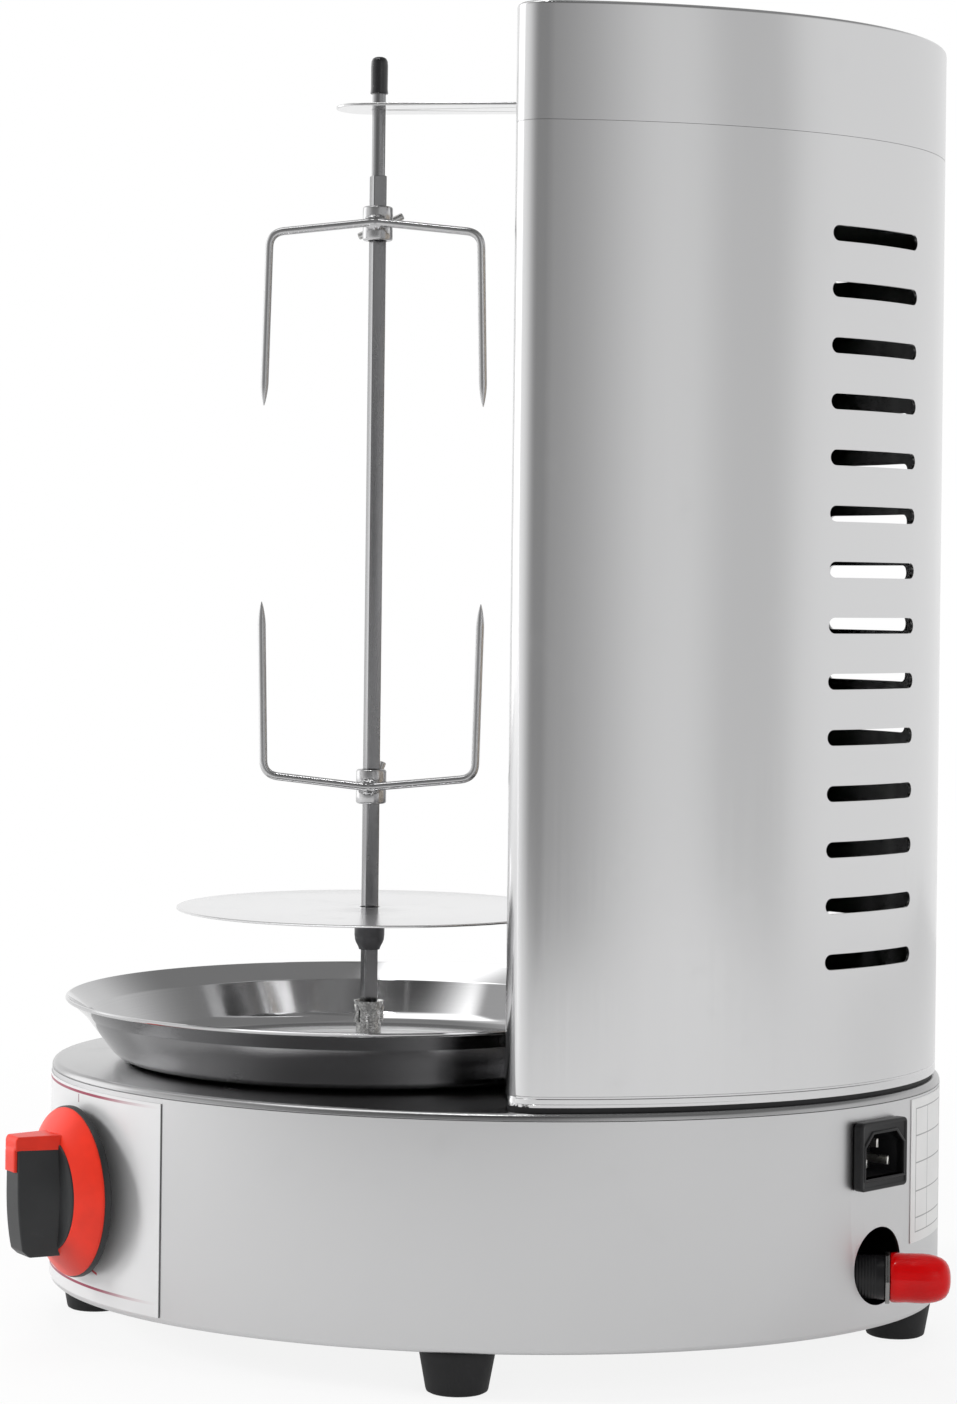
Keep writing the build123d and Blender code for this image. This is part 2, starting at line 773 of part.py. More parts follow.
def knob_grip(side):
    face = skirt_gap + skirt_thickness
    skirt = rod(skirt_radius, skirt_gap, face)
    skirt = fillet(skirt.edges().group_by(Axis.Z)[-1], 0.6)
    boss = rod(ring_inner_radius - 0.02, face - 0.5, face + ring_rise)
    skirt -= rod(skirt_recess_radius, skirt_gap - 1, face - skirt_web)
    knob = skirt + boss + grip_shape() - trim_shape()
    hole = rod(stem_radius + 0.02, 0, grip_reach - 8)
    hole -= block(9, 9, skirt_gap + 6, grip_reach, 0, stem_radius + 3.22)
    return knob_plane(side) * (knob - hole)


def knob_trim(side):
    return knob_plane(side) * trim_shape()


# Gas pipes

def valve_end(side, depth, rise=0.0):
    place = knob_plane(side)
    return place.origin - place.z_dir * depth + Vector(0, 0, rise)


def gas_manifold():
    z = z_knob
    start = valve_end(-1, valve_length + 2)
    inward = knob_plane(-1).z_dir * -1
    length = (manifold_y - start.Y) / inward.Y
    first_x = start.X + inward.X * length - manifold_overrun
    turn_y = fitting_back_y - manifold_last_run
    points = [(first_x, manifold_y, z), (manifold_side_x, manifold_y, z), (manifold_side_x, manifold_drop_y, z),
              (manifold_side_x, manifold_low_y, z_gas), (manifold_side_x, turn_y - manifold_slant, z_gas),
              (gas_x, turn_y, z_gas), (gas_x, fitting_back_y, z_gas)]
    line = pipe(points, pipe_radius, pipe_bore, pipe_bend)
    for side in (-1, 1):
        start = valve_end(side, valve_length + 2)
        inward = knob_plane(side).z_dir * -1
        line += Plane(origin=start, z_dir=inward) * rod(tube_radius, 0, length - 1.5)
    return line


def gas_inlet_fitting():
    along = Plane(origin=(gas_x, fitting_back_y, z_gas), z_dir=(0, 1, 0))
    sleeve_length = fitting_front_y - fitting_back_y
    spigot_end = gas_cap_end_y - fitting_back_y - 2.5
    fitting = rod(fitting_radius, 0, sleeve_length) + rod(spigot_radius, sleeve_length - 1, spigot_end)
    return along * (fitting - rod(pipe_bore, -1, spigot_end + 1))


def gas_inlet_nut():
    along = Plane(origin=(gas_x, fitting_front_y, z_gas), z_dir=(0, 1, 0))
    return along * (hexagon(inlet_nut_flats, 0, inlet_nut_thickness) - rod(spigot_radius + 0.02, -1, 9))


def gas_inlet_cap():
    start = fitting_front_y + inlet_nut_thickness + 0.2
    along = Plane(origin=(gas_x, start, z_gas), z_dir=(0, 1, 0))
    length = gas_cap_end_y - start
    cap = rod(gas_cap_radius, 0, length)
    cap = fillet(cap.edges().group_by(Axis.Z)[-1], gas_cap_round)
    return along * (cap - rod(spigot_radius + running_clearance, -1, length - 2.2))


def burner_height(index):
    return z_tower + burner_low_height + index * burner_spacing + burner_tall / 2


def burner_tube(side, index):
    z = z_base + tube_run_height
    start = valve_end(side, valve_length / 2 + 2, valve_radius + 0.02)
    end = burner_height(index)
    back = reflector_y + panel_sheet / 2 + burner_depth
    low = z_base + tube_low_height
    points = [(start.X, start.Y, start.Z), (start.X, start.Y, z), (side * manifold_side_x, tube_drop_y, z),
              (side * manifold_side_x, tube_rise_y - tube_slant, low), (side * tube_rise_x, tube_rise_y, low),
              (side * tube_rise_x, tube_rise_y, end), (side * tube_rise_x, back - 2, end)]
    return pipe(points, tube_radius, tube_bore, tube_bend)


def lower_burner_tube():
    return burner_tube(1, 0)


def upper_burner_tube():
    return burner_tube(-1, 1)


# Tower

def tower_profile(inset, corner):
    whole = Ellipse(tower_half_width - inset, tower_half_length - inset)
    reach = 2 * tower_half_length
    keep = Pos(0, tower_front_y + inset + reach / 2) * Rectangle(4 * tower_half_width, reach)
    shape = whole & keep
    return fillet(shape.vertices().sort_by(Axis.Y)[:2], corner)


def recess_profile(grow):
    half = make_face(Polyline((-recess_mouth_x, tower_front_y), (-recess_back_x, recess_back_y),
                              (recess_back_x, recess_back_y), (recess_mouth_x, tower_front_y), close=True))
    mouth = Pos(0, tower_front_y - 10) * Rectangle(2 * recess_mouth_x, 20.1)
    shape = half + mouth
    return offset(shape, amount=grow, kind=Kind.INTERSECTION) if grow else shape


def tower_slots():
    cuts = []
    for side in (-1, 1):
        heading = 90 - side * (90 - slot_heading)
        slot = extrude(SlotOverall(slot_length, slot_width), 12, both=True)
        for index in range(slot_count):
            z = z_base + slot_first_height + index * slot_pitch
            cuts.append(wall_plane(heading, z, tower_half_width, tower_half_length) * slot)
    return cuts


def tower_shell():
    ring_shape = tower_profile(0, tower_corner) - tower_profile(sheet, tower_corner - sheet)
    shell = extrude(Pos(0, 0, z_tower) * ring_shape, z_seam - z_tower)
    shell -= block(2 * recess_mouth_x, 4 * sheet, z_tower - 1, z_seam + 1, 0, tower_front_y)
    return shell - tower_slots()


def tower_cap():
    outer = tower_profile(0, tower_corner) - recess_profile(0)
    inner = tower_profile(sheet, tower_corner - sheet) - recess_profile(sheet)
    hood = extrude(Pos(0, 0, z_seam) * outer, z_tower_top - z_seam)
    hood = chamfer(hood.edges().group_by(Axis.Z)[-1], hood_edge)
    hood -= extrude(Pos(0, 0, z_seam) * inner, z_tower_top - sheet - z_seam)
    for side in (-1, 1):
        hood -= bracket_screw_place(side) * rod(bracket_screw_radius + slide_clearance, -20, 9)
    return hood


def tower_gasket():
    outer = tower_profile(gasket_inset, tower_corner - gasket_inset) - recess_profile(gasket_inset)
    inset = gasket_inset + gasket_width
    inner = tower_profile(inset, 1.0) - recess_profile(inset)
    return extrude(Pos(0, 0, z_deck) * (outer - inner), tower_gap)


def tower_floor():
    fit = sheet + slide_clearance
    outline = tower_profile(fit, tower_corner - fit) - recess_profile(fit)
    plate = extrude(Pos(0, 0, z_tower) * outline, sheet)
    for side in (-1, 1):
        plate -= rod(tube_radius + 2, 0, z_tower + 9, side * tube_rise_x, tube_rise_y)
        for x, y in tower_screw_places():
            plate -= rod(tower_screw_radius + slide_clearance, 0, z_tower + 9, side * x, y)
    return plate


def tower_screws():
    top = z_tower + sheet
    under = z_deck - sheet
    screws = []
    for side in (-1, 1):
        for x, y in tower_screw_places():
            screw = rod(2 * tower_screw_radius, top, top + screw_head_height)
            screw += rod(tower_screw_radius, under - nut_height - tower_screw_radius, top + 0.5)
            screw += hexagon(3.5 * tower_screw_radius, under - nut_height, under)
            spacer = ring(2 * tower_screw_radius, tower_screw_radius, z_deck, z_tower)
            screws.append(Pos(side * x, y, 0) * (screw + spacer))
    return Compound(children=screws)


def folded_sheet(points, thickness, z0, z1):
    panel = None
    for (ax, ay), (bx, by) in zip(points, points[1:]):
        length = hypot(bx - ax, by - ay)
        turn = Vector(1, 0, 0).get_signed_angle(Vector(bx - ax, by - ay, 0), Vector(0, 0, 1))
        run = Pos((ax + bx) / 2, (ay + by) / 2, 0) * Rot(0, 0, turn) * block(length, thickness, z0, z1)
        panel = run if panel is None else panel + run
    for x, y in points[1:-1]:
        panel += rod(thickness / 2, z0, z1, x, y)
    return panel


def burner_block(width, tall, y0, y1, index):
    z = burner_height(index)
    return block(width, y1 - y0, z - tall / 2, z + tall / 2, 0, (y0 + y1) / 2)


def reflector_panel():
    lip_y = tower_front_y + sheet + panel_sheet / 2 + glue
    gap = panel_sheet / 2 + 0.1
    points = [(-recess_mouth_x - panel_lip, lip_y), (-recess_mouth_x + 1.5, lip_y),
              (-recess_back_x - gap, reflector_y), (recess_back_x + gap, reflector_y),
              (recess_mouth_x - 1.5, lip_y), (recess_mouth_x + panel_lip, lip_y)]
    panel = folded_sheet(points, panel_sheet, z_tower + sheet, z_seam)
    for index in (0, 1):
        width, tall = burner_width - 2 * window_margin, burner_tall - 2 * window_margin
        panel -= burner_block(width, tall, reflector_y - 5, reflector_y + 5, index)
    return panel


def burner_housing(index, side):
    front = reflector_y + panel_sheet / 2
    back = front + burner_depth
    box = burner_block(burner_width, burner_tall, front, back, index)
    box -= burner_block(burner_width - 2 * burner_wall, burner_tall - 2 * burner_wall, front - 1,
                        back - burner_wall, index)
    seat = reflector_y - panel_sheet / 2 - plaque_forward + plaque_thickness
    ledge = burner_block(burner_width - burner_wall, burner_tall - burner_wall, seat, seat + burner_wall, index)
    opening = window_margin + plaque_margin + ledge_width
    ledge -= burner_block(burner_width - 2 * opening, burner_tall - 2 * opening, seat - 1, seat + 2, index)
    neck_place = Plane(origin=(side * tube_rise_x, back, burner_height(index)), z_dir=(0, 1, 0))
    neck = neck_place * rod(burner_neck_radius, -0.5, burner_neck_length)
    bore = neck_place * rod(tube_radius + slide_clearance, -burner_wall - 1, burner_neck_length + 1)
    return box + ledge + neck - bore


def burner_plaque(index):
    front = reflector_y - panel_sheet / 2 - plaque_forward
    width = burner_width - 2 * (window_margin + plaque_margin)
    tall = burner_tall - 2 * (window_margin + plaque_margin)
    return burner_block(width, tall, front, front + plaque_thickness, index)


def burner_mesh(index):
    face = reflector_y - panel_sheet / 2
    front = face - mesh_standoff - mesh_thickness
    back = face - mesh_standoff
    z = burner_height(index)
    frame = burner_block(burner_width, burner_tall, front, back, index)
    frame -= burner_block(burner_width - 2 * mesh_frame, burner_tall - 2 * mesh_frame, front - 1, back + 1, index)
    y = (front + back) / 2
    half_w, half_t = burner_width / 2 - 1, burner_tall / 2 - 1
    columns = int(half_w // mesh_pitch)
    rows = int(half_t // mesh_pitch)
    for column in range(-columns, columns + 1):
        frame += rod(mesh_wire, z - half_t, z + half_t, column * mesh_pitch, y)
    for row in range(-rows, rows + 1):
        across = Plane(origin=(-half_w, y, z + row * mesh_pitch), z_dir=(1, 0, 0))
        frame += across * rod(mesh_wire, 0, 2 * half_w)
    for x in (-1, 1):
        for up in (-1, 1):
            corner = (x * (burner_width / 2 - 1.5), back - 0.5, z + up * (burner_tall / 2 - 1.5))
            frame += Plane(origin=corner, z_dir=(0, 1, 0)) * rod(1.4, 0, mesh_standoff + 0.5)
    return frame


# Top bracket

def bracket_screw_place(side):
    z = z_deck + bracket_height - bracket_drop / 2
    return Plane(origin=(side * bracket_screw_spacing / 2, recess_back_y, z), z_dir=(0, -1, 0))


def spit_bracket():
    low = z_deck + bracket_height
    radius = bracket_width / 2
    length = recess_back_y - bracket_tip_y - radius
    middle = recess_back_y - length / 2
    strip = block(bracket_width, length, low, low + bracket_sheet, 0, middle)
    strip += rod(radius, low, low + bracket_sheet, 0, bracket_tip_y + radius)
    strip += block(bracket_width, bracket_sheet, low - bracket_drop, low + 0.5, 0, recess_back_y - bracket_sheet / 2)
    strip -= rod(spit_rod_radius + bracket_hole_clearance, low - 1, low + 9, 0, spit_y)
    for side in (-1, 1):
        strip -= bracket_screw_place(side) * rod(bracket_screw_radius + slide_clearance, -20, 9)
    return strip


def bracket_screws():
    screws = []
    for side in (-1, 1):
        head = rod(1.9 * bracket_screw_radius, bracket_sheet, bracket_sheet + 2.2)
        head = fillet(head.edges().group_by(Axis.Z)[-1], 1.0)
        head -= block(1.0, 9, bracket_sheet + 1.3, bracket_sheet + 3)
        screw = head + rod(bracket_screw_radius, -8, bracket_sheet + 0.5)
        screw += hexagon(7.0, -sheet - 3.0, -sheet)
        screws.append(bracket_screw_place(side) * screw)
    return Compound(children=screws)


pieces = {
    "base_drum": base_drum(),
    "base_top_plate": base_top_plate(),
    "base_bottom_plate": base_bottom_plate(),
    "control_panel": control_panel(),
    "rating_plate": rating_plate(),
    "rubber_feet": rubber_feet(),
    "foot_screws": foot_screws(),
    "mains_inlet": mains_inlet(),
    "mains_inlet_pins": mains_inlet_pins(),
    "gearbox_case": gearbox_case(),
    "gearbox_lid": gearbox_lid(),
    "gearbox_screws": gearbox_screws(),
    "shaft_bush": shaft_bush(),
    "motor_can": motor_can(),
    "motor_rotor": motor_rotor(),
    "motor_pinion": motor_pinion(),
    "output_gear": output_gear(),
    "drive_socket": drive_socket(),
    "spit_bar": spit_bar(),
    "spit_end_cap": spit_end_cap(),
    "meat_disc": meat_disc(),
    "disc_hub": disc_hub(),
    "upper_fork": upper_fork(),
    "upper_clamp_screw": upper_clamp_screw(),
    "lower_fork": lower_fork(),
    "lower_clamp_screw": lower_clamp_screw(),
    "drip_tray": drip_tray(),
    "valve_nuts": valve_nuts(),
    "valve_springs": valve_springs(),
    "gas_manifold": gas_manifold(),
    "gas_inlet_fitting": gas_inlet_fitting(),
    "gas_inlet_nut": gas_inlet_nut(),
    "gas_inlet_cap": gas_inlet_cap(),
    "lower_burner_tube": lower_burner_tube(),
    "upper_burner_tube": upper_burner_tube(),
    "tower_gasket": tower_gasket(),
    "tower_floor": tower_floor(),
    "tower_shell": tower_shell(),
    "tower_cap": tower_cap(),
    "tower_screws": tower_screws(),
    "reflector_panel": reflector_panel(),
    "spit_bracket": spit_bracket(),
    "bracket_screws": bracket_screws(),
}
for name, side in (("right", 1), ("left", -1)):
    pieces[name + "_gas_valve"] = valve_body(side)
    pieces[name + "_valve_plunger"] = valve_plunger(side)
    pieces[name + "_valve_stem"] = valve_stem(side)
    pieces[name + "_knob_grip"] = knob_grip(side)
    pieces[name + "_knob_trim"] = knob_trim(side)
for name, index, side in (("lower", 0, 1), ("upper", 1, -1)):
    pieces[name + "_burner_housing"] = burner_housing(index, side)
    pieces[name + "_burner_plaque"] = burner_plaque(index)
    pieces[name + "_burner_mesh"] = burner_mesh(index)

os.makedirs("parts", exist_ok=True)
for name, shape in pieces.items():
    export_step(shape, "parts/" + name + ".step")
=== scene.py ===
"""Visual model of a small upright gas broiler with a motor driven spit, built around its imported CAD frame."""
import math

import bmesh
import bpy
from mathutils import Matrix, Vector


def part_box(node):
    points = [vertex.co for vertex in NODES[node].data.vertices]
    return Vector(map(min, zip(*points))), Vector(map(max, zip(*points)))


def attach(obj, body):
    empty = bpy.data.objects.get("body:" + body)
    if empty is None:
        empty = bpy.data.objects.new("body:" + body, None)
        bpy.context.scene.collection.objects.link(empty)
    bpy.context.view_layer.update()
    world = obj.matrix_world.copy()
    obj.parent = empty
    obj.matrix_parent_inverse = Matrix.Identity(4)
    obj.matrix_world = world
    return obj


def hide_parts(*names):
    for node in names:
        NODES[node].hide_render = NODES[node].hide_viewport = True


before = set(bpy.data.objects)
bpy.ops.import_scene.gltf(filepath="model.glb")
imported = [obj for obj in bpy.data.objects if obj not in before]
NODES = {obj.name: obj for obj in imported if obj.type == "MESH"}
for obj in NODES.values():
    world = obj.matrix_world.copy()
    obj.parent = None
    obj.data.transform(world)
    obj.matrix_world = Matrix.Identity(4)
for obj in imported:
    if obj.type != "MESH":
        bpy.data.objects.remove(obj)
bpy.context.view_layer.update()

bl_info = {
    "name": "Upright Spit Broiler",
    "version": (1, 0, 0),
    "blender": (4, 5, 0),
    "location": "View3D > Sidebar > Broiler",
    "description": "Builds the looks of a small upright gas broiler around its CAD frame",
    "category": "Object",
}

MM = 0.001
TURN = 2 * math.pi


def node_mm(name):
    low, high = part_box(name)
    return low / MM, high / MM


def node_middle(name):
    low, high = node_mm(name)
    return (low + high) / 2


DRUM_LOW, DRUM_HIGH = node_mm("base_drum")
SHELL_LOW, SHELL_HIGH = node_mm("tower_shell")
TRAY_RADIUS = node_mm("drip_tray")[1].x
SPIT_Y = node_middle("drip_tray").y
BASE_HALF_X, BASE_HALF_Y, DECK_Z = node_mm("base_top_plate")[1]

# What the boxes don't give: headings in degrees, and places in mm
KNOB_HEADING = 38.5  # of each knob, from the front
INLET_HEADING = 52.3  # of the mains inlet, from the right towards the back
SLOT_HEADING = 51.5  # of the cooling slots, from either side towards the back
FIRST_SLOT_RISE, SLOTS_SPAN = 145.0, 282.9  # over the drum's foot, and on to the last slot
TOWER_MOUTH = 116.0  # half the gap between the tower's front edges
RECESS_HALF, RECESS_Y = 66.0, 84.0  # the back of the hood's recess
BRACKET_SCREW_RISE, BRACKET_SCREW_X = 389.9, 7  # over the deck, and to either side
SPIT_TWIST = 27.0  # of the square spit and its socket
SHOULDER_RISE = 370.2  # the top of the square part, over the deck
FORK_RISE = {"upper": 342.9, "lower": 106.7}  # the collars' lower ends, over the deck
CLAMP_RISE = 7.15  # the clamp screw, over the collar's lower end
FOOT_INSET = 17


# Sizes and colours a user would change

def size(name, description, default, low, high):
    return bpy.props.FloatProperty(
        name=name, description=description + ", in millimetres", default=default, min=low, max=high)


def colour(name, description, default):
    return bpy.props.FloatVectorProperty(
        name=name, description=description, subtype="COLOR", size=3, default=default, min=0, max=1)


class BroilerSizes(bpy.types.PropertyGroup):
    sheet: size("Sheet thickness", "Thickness of the steel sheet", 1.2, 0.5, 3)
    deck_roll: size("Deck edge radius", "Radius of the rolled edge round the deck", 2.5, 0.5, 5)
    hood_edge: size("Hood edge radius", "Radius of the hood's top edge", 1.6, 0.2, 4)
    slot_count: bpy.props.IntProperty(
        name="Cooling slots", description="Number of cooling slots on each side of the tower", default=14, min=1,
        max=20)
    tray_radius: size("Tray radius", "Outer radius of the drip tray", TRAY_RADIUS, 60, 200)
    knob_radius: size("Knob radius", "Radius of the skirt behind each knob", 34.0, 10, 50)
    fork_wire: size("Fork wire radius", "Radius of the forks' wire", 1.7, 0.5, 4)


class BroilerColours(bpy.types.PropertyGroup):
    steel: colour("Steel", "Colour of the brushed stainless steel", (0.68, 0.68, 0.685))
    dark_steel: colour("Drawn steel", "Colour of the spit and the fork wires", (0.30, 0.30, 0.305))
    trim: colour("Knob trim", "Colour of the red moulding on the knobs", (0.72, 0.028, 0.010))
    grip: colour("Knob grip", "Colour of the dark grip", (0.024, 0.025, 0.026))
    cap: colour("Gas cap", "Colour of the dipped vinyl cap on the gas inlet", (0.70, 0.0, 0.001))
    film: colour("Panel film", "Colour of the front overlay", (0.70, 0.70, 0.705))
    line: colour("Panel line", "Colour of the two printed lines", (0.28, 0.015, 0.055))
    floor: colour("Floor", "Colour of the floor", (0.86, 0.86, 0.86))


def sizes():
    return bpy.context.scene.broiler_sizes


def colour_of(key):
    return tuple(getattr(bpy.context.scene.broiler_colours, key))


# Node building

class Num:
    """A number socket, so that masks are written as plain expressions."""

    def __init__(self, nodes, socket):
        self.nodes, self.socket = nodes, socket

    def apply(self, operation, *others, clamp=False, first=None):
        values = dict(enumerate(others, 1))
        values[0] = self.socket
        if first is not None:
            values = {0: first, 1: self.socket}
        made = self.nodes.node("ShaderNodeMath", {"operation": operation, "use_clamp": clamp}, values)
        return Num(self.nodes, made.outputs[0])

    def __add__(self, other):
        return self.apply("ADD", other)

    def __sub__(self, other):
        return self.apply("SUBTRACT", other)

    def __rsub__(self, other):
        return self.apply("SUBTRACT", first=other)

    def __mul__(self, other):
        return self.apply("MULTIPLY", other)

    def __truediv__(self, other):
        return self.apply("DIVIDE", other)

    def __pow__(self, other):
        return self.apply("POWER", other)

    __radd__, __rmul__ = __add__, __mul__

    def top(self, other):
        return self.apply("MAXIMUM", other)

    def step(self, low, high):
        """0 below low, 1 above high, smooth between them."""
        made = self.nodes.node("ShaderNodeMapRange", {"interpolation_type": "SMOOTHSTEP"},
                               {"Value": self.socket, "From Min": low, "From Max": high})
        return Num(self.nodes, made.outputs["Result"])

    def band(self, middle, half, soft):
        """1 within half of middle, falling to 0 over soft."""
        return 1 - (self - middle).apply("ABSOLUTE").step(half, half + soft)


class Nodes:
    """A node tree whose nodes all come from one method."""

    def __init__(self, tree):
        self.tree = tree

    def node(self, kind, settings, values):
        made = self.tree.nodes.new(kind)
        for key, value in settings.items():
            setattr(made, key, value)
        return self.fill(made, values)

    def fill(self, made, values):
        """Links or sets a node's sockets."""
        for key, value in values.items():
            if isinstance(value, Num):
                value = value.socket
            if isinstance(value, bpy.types.NodeSocket):
                self.tree.links.new(value, made.inputs[key])
            else:
                made.inputs[key].default_value = value
        return made

    def split(self, vector):
        made = self.node("ShaderNodeSeparateXYZ", {}, {0: vector})
        return [Num(self, made.outputs[k]) for k in range(3)]

    def rays(self):
        """The light path's outputs, by name."""
        outputs = self.node("ShaderNodeLightPath", {}, {}).outputs
        return lambda kind: Num(self, outputs[f"Is {kind} Ray"])

    def blend(self, factor, first, second):
        return self.node("ShaderNodeMixShader", {}, {0: factor, 1: first, 2: second}).outputs[0]


def opaque(value):
    """A colour with its alpha, or the socket that gives one."""
    return (*value, 1) if isinstance(value, tuple) else value


class Finish(Nodes):
    """A procedural material on Object coordinates, in metres."""

    def __init__(self, name):
        self.material = bpy.data.materials.new(name)
        self.material.use_nodes = True
        super().__init__(self.material.node_tree)
        self.shader = self.tree.nodes["Principled BSDF"]
        self.place = self.node("ShaderNodeTexCoord", {}, {}).outputs["Object"]
        self.x, self.y, self.z = self.split(self.place)

    def noise(self, scale, detail=3.0, stretch=(1, 1, 1), roughness=0.55):
        vector = self.node("ShaderNodeMapping", {}, {"Vector": self.place, "Scale": stretch}).outputs[0]
        made = self.node("ShaderNodeTexNoise", {},
                         {"Vector": vector, "Scale": scale, "Detail": detail, "Roughness": roughness})
        return Num(self, made.outputs["Fac"])

    def cells(self, scale):
        made = self.node("ShaderNodeTexVoronoi", {}, {"Vector": self.place, "Scale": scale})
        return Num(self, made.outputs["Distance"])

    def radius(self, x, y):
        """Distance from an upright axis, in metres."""
        return ((self.x - x) ** 2 + (self.y - y) ** 2) ** 0.5

    def rings(self, scale):
        """Noise along the distance from the spit's axis."""
        made = self.node("ShaderNodeTexNoise", {"noise_dimensions": "1D"},
                         {"W": self.radius(0, SPIT_Y * MM), "Scale": scale, "Detail": 3.0})
        return Num(self, made.outputs["Fac"])

    def mix(self, factor, first, second):
        """Blends two colours, which are the Mix node's inputs 6 and 7 and its output 2."""
        made = self.node("ShaderNodeMix", {"data_type": "RGBA"}, {0: factor, 6: opaque(first), 7: opaque(second)})
        return made.outputs[2]

    def bump(self, height, depth):
        """A bump from a height of 0 to 1, depth in metres."""
        made = self.node("ShaderNodeBump", {}, {"Height": height, "Distance": depth, "Strength": 1.0})
        self.fill(self.shader, {"Normal": made.outputs[0]})

    def finish(self, base, roughness, **others):
        values = {"Base Color": opaque(base), "Roughness": roughness}
        values.update({key.replace("_", " "): value for key, value in others.items()})
        self.fill(self.shader, values)
        return self.material


def shade(rgb, factor):
    return tuple(min(1.0, c * factor) for c in rgb)


# Finishes

def steel(name, rgb, roughness, stretch=(1, 1, 1), streak=2400.0, depth=0.000004, contrast=0.05, ringed=False):
    """Brushed or polished metal: fine streaks, slow cloudiness, a few marks from handling."""
    f = Finish(name)
    lines = f.rings(streak) if ringed else f.noise(streak / 8, 4.0, stretch)
    clouds = f.noise(9.0)
    smudges = f.noise(38.0, 4.0, roughness=0.65).step(0.56, 0.78)
    tone = (lines - 0.5) * (2 * contrast) + (clouds - 0.5) * (1.2 * contrast)
    swing = 2.2 * contrast
    base = f.mix(tone.apply("ADD", 0.5, clamp=True), shade(rgb, 1 - swing), shade(rgb, 1 + swing))
    f.bump(lines, depth)
    return f.finish(base, roughness + (lines - 0.5) * 0.10 + smudges * 0.06 + (clouds - 0.5) * 0.05, Metallic=1.0)


def plastic(name, rgb, roughness, grain=1800.0, depth=0.000015, worn=0.12, coat=0.0, gloss=0.32):
    """Moulded plastic: a fine moulded grain, faint flow clouds and rubbed patches."""
    f = Finish(name)
    speck = f.noise(grain, 2.0)
    rubbed = f.noise(140.0, 5.0, roughness=0.7).step(0.58, 0.75)
    base = f.mix(f.noise(55.0).step(0.3, 0.75), shade(rgb, 0.92), shade(rgb, 1.1))
    base = f.mix(rubbed * worn, base, tuple(min(1.0, c * 1.3 + 0.03) for c in rgb))
    f.bump(speck, depth)
    return f.finish(base, roughness + (speck - 0.5) * 0.08 - rubbed * 0.07, Specular_IOR_Level=gloss,
                    Coat_Weight=coat, Coat_Roughness=0.08)


def film_finish(name, rgb):
    """The front overlay: pale film with two thin lines that fade at its ends, and small marks at the knobs."""
    f = Finish(name)
    clouds = f.noise(14.0)
    speck = f.noise(2600.0, 2.0)
    base = f.mix(clouds.step(0.3, 0.7), shade(rgb, 0.97), shade(rgb, 1.03))
    side = f.x.apply("ABSOLUTE")
    lines = f.z.band(0.1018, 0.00045, 0.0002) + f.z.band(0.0252, 0.00045, 0.0002)
    fade = 1 - side.step(0.082, 0.112)
    base = f.mix((lines * fade).apply("MINIMUM", 1.0), base, colour_of("line"))
    end = math.cos(math.asin(node_mm("control_panel")[1].y / BASE_HALF_Y)) * (BASE_HALF_X + 0.05) * MM
    base = f.mix(side.step(end - 0.00002, end + 0.00002) * 0.9, base, (0.045, 0.045, 0.048))
    ticks = side.band(0.0725, 0.0003, 0.00015) * f.z.band(0.0992, 0.0016, 0.0002)
    base = f.mix(ticks * 0.8, base, (0.25, 0.10, 0.13))
    # the lower ticks slope down away from the knobs
    slope, tick_x, tick_z = 0.35, 0.084, 0.0318
    low_ticks = side.band(tick_x, 0.0016, 0.0002) * (f.z + side * slope).band(tick_z + tick_x * slope, 0.0004, 0.0002)
    base = f.mix(low_ticks, base, (0.55, 0.03, 0.05))
    f.bump(speck, 0.000004)
    return f.finish(base, 0.36 + (speck - 0.5) * 0.05 + clouds * 0.04, Metallic=0.35, Coat_Weight=0.2,
                    Coat_Roughness=0.2)


def plate_finish(name, rgb):
    """The rating plate: white film with an empty ruled table."""
    f = Finish(name)
    low, high = node_mm("rating_plate")
    middle = node_middle("rating_plate") * MM
    margin, rule_half, soft = 0.004, 0.0002, 0.0001
    wide, tall = (high.x - low.x) * MM - 2 * margin, (high.z - low.z) * MM - 2 * margin
    inside = f.x.band(middle.x, wide / 2 + rule_half, soft) * f.z.band(middle.z, tall / 2 + rule_half, soft)
    foot, right = low.z * MM + margin, high.x * MM - margin
    rule = f.z.band(foot, 0.00018, soft)
    for share in (0.115, 0.33, 0.56, 0.78, 1.0):
        rule = rule.top(f.z.band(foot + tall * share, rule_half, soft))
    for share in (0.0, 0.36, 1.0):
        rule = rule.top(f.x.band(right - wide * share, 0.00018, soft))
    speck = f.noise(3000.0, 2.0)
    base = f.mix(f.noise(60.0).step(0.3, 0.7), shade(rgb, 0.96), rgb)
    base = f.mix(rule * inside * 0.8, base, (0.25, 0.25, 0.26))
    f.bump(speck, 0.000003)
    return f.finish(base, 0.38 + (speck - 0.5) * 0.06, Coat_Weight=0.1)


def tray_finish(name, rgb):
    """Polished steel walls with soft smears, and a satin floor with spun rings, whose paler colour is painted light
    from above.
    """
    f = Finish(name)
    lines = f.rings(3400.0)
    smears = f.noise(26.0, 4.0, roughness=0.65).step(0.5, 0.75)
    floor = 1 - f.radius(0, SPIT_Y * MM).step((TRAY_RADIUS - 34) * MM, (TRAY_RADIUS - 27) * MM)
    base = f.mix(lines, shade(rgb, 0.95), shade(rgb, 1.05))
    # painted light: the floor's colour is paler than the walls', for the light that falls on it from above; its
    # rougher, less metallic surface is its satin finish
    base = f.mix(floor, base, shade(rgb, 1.65))
    f.bump(lines, 0.0000012)
    return f.finish(base, 0.07 + smears * 0.07 + floor * 0.24 + (lines - 0.5) * 0.03, Metallic=1 - floor * 0.55)


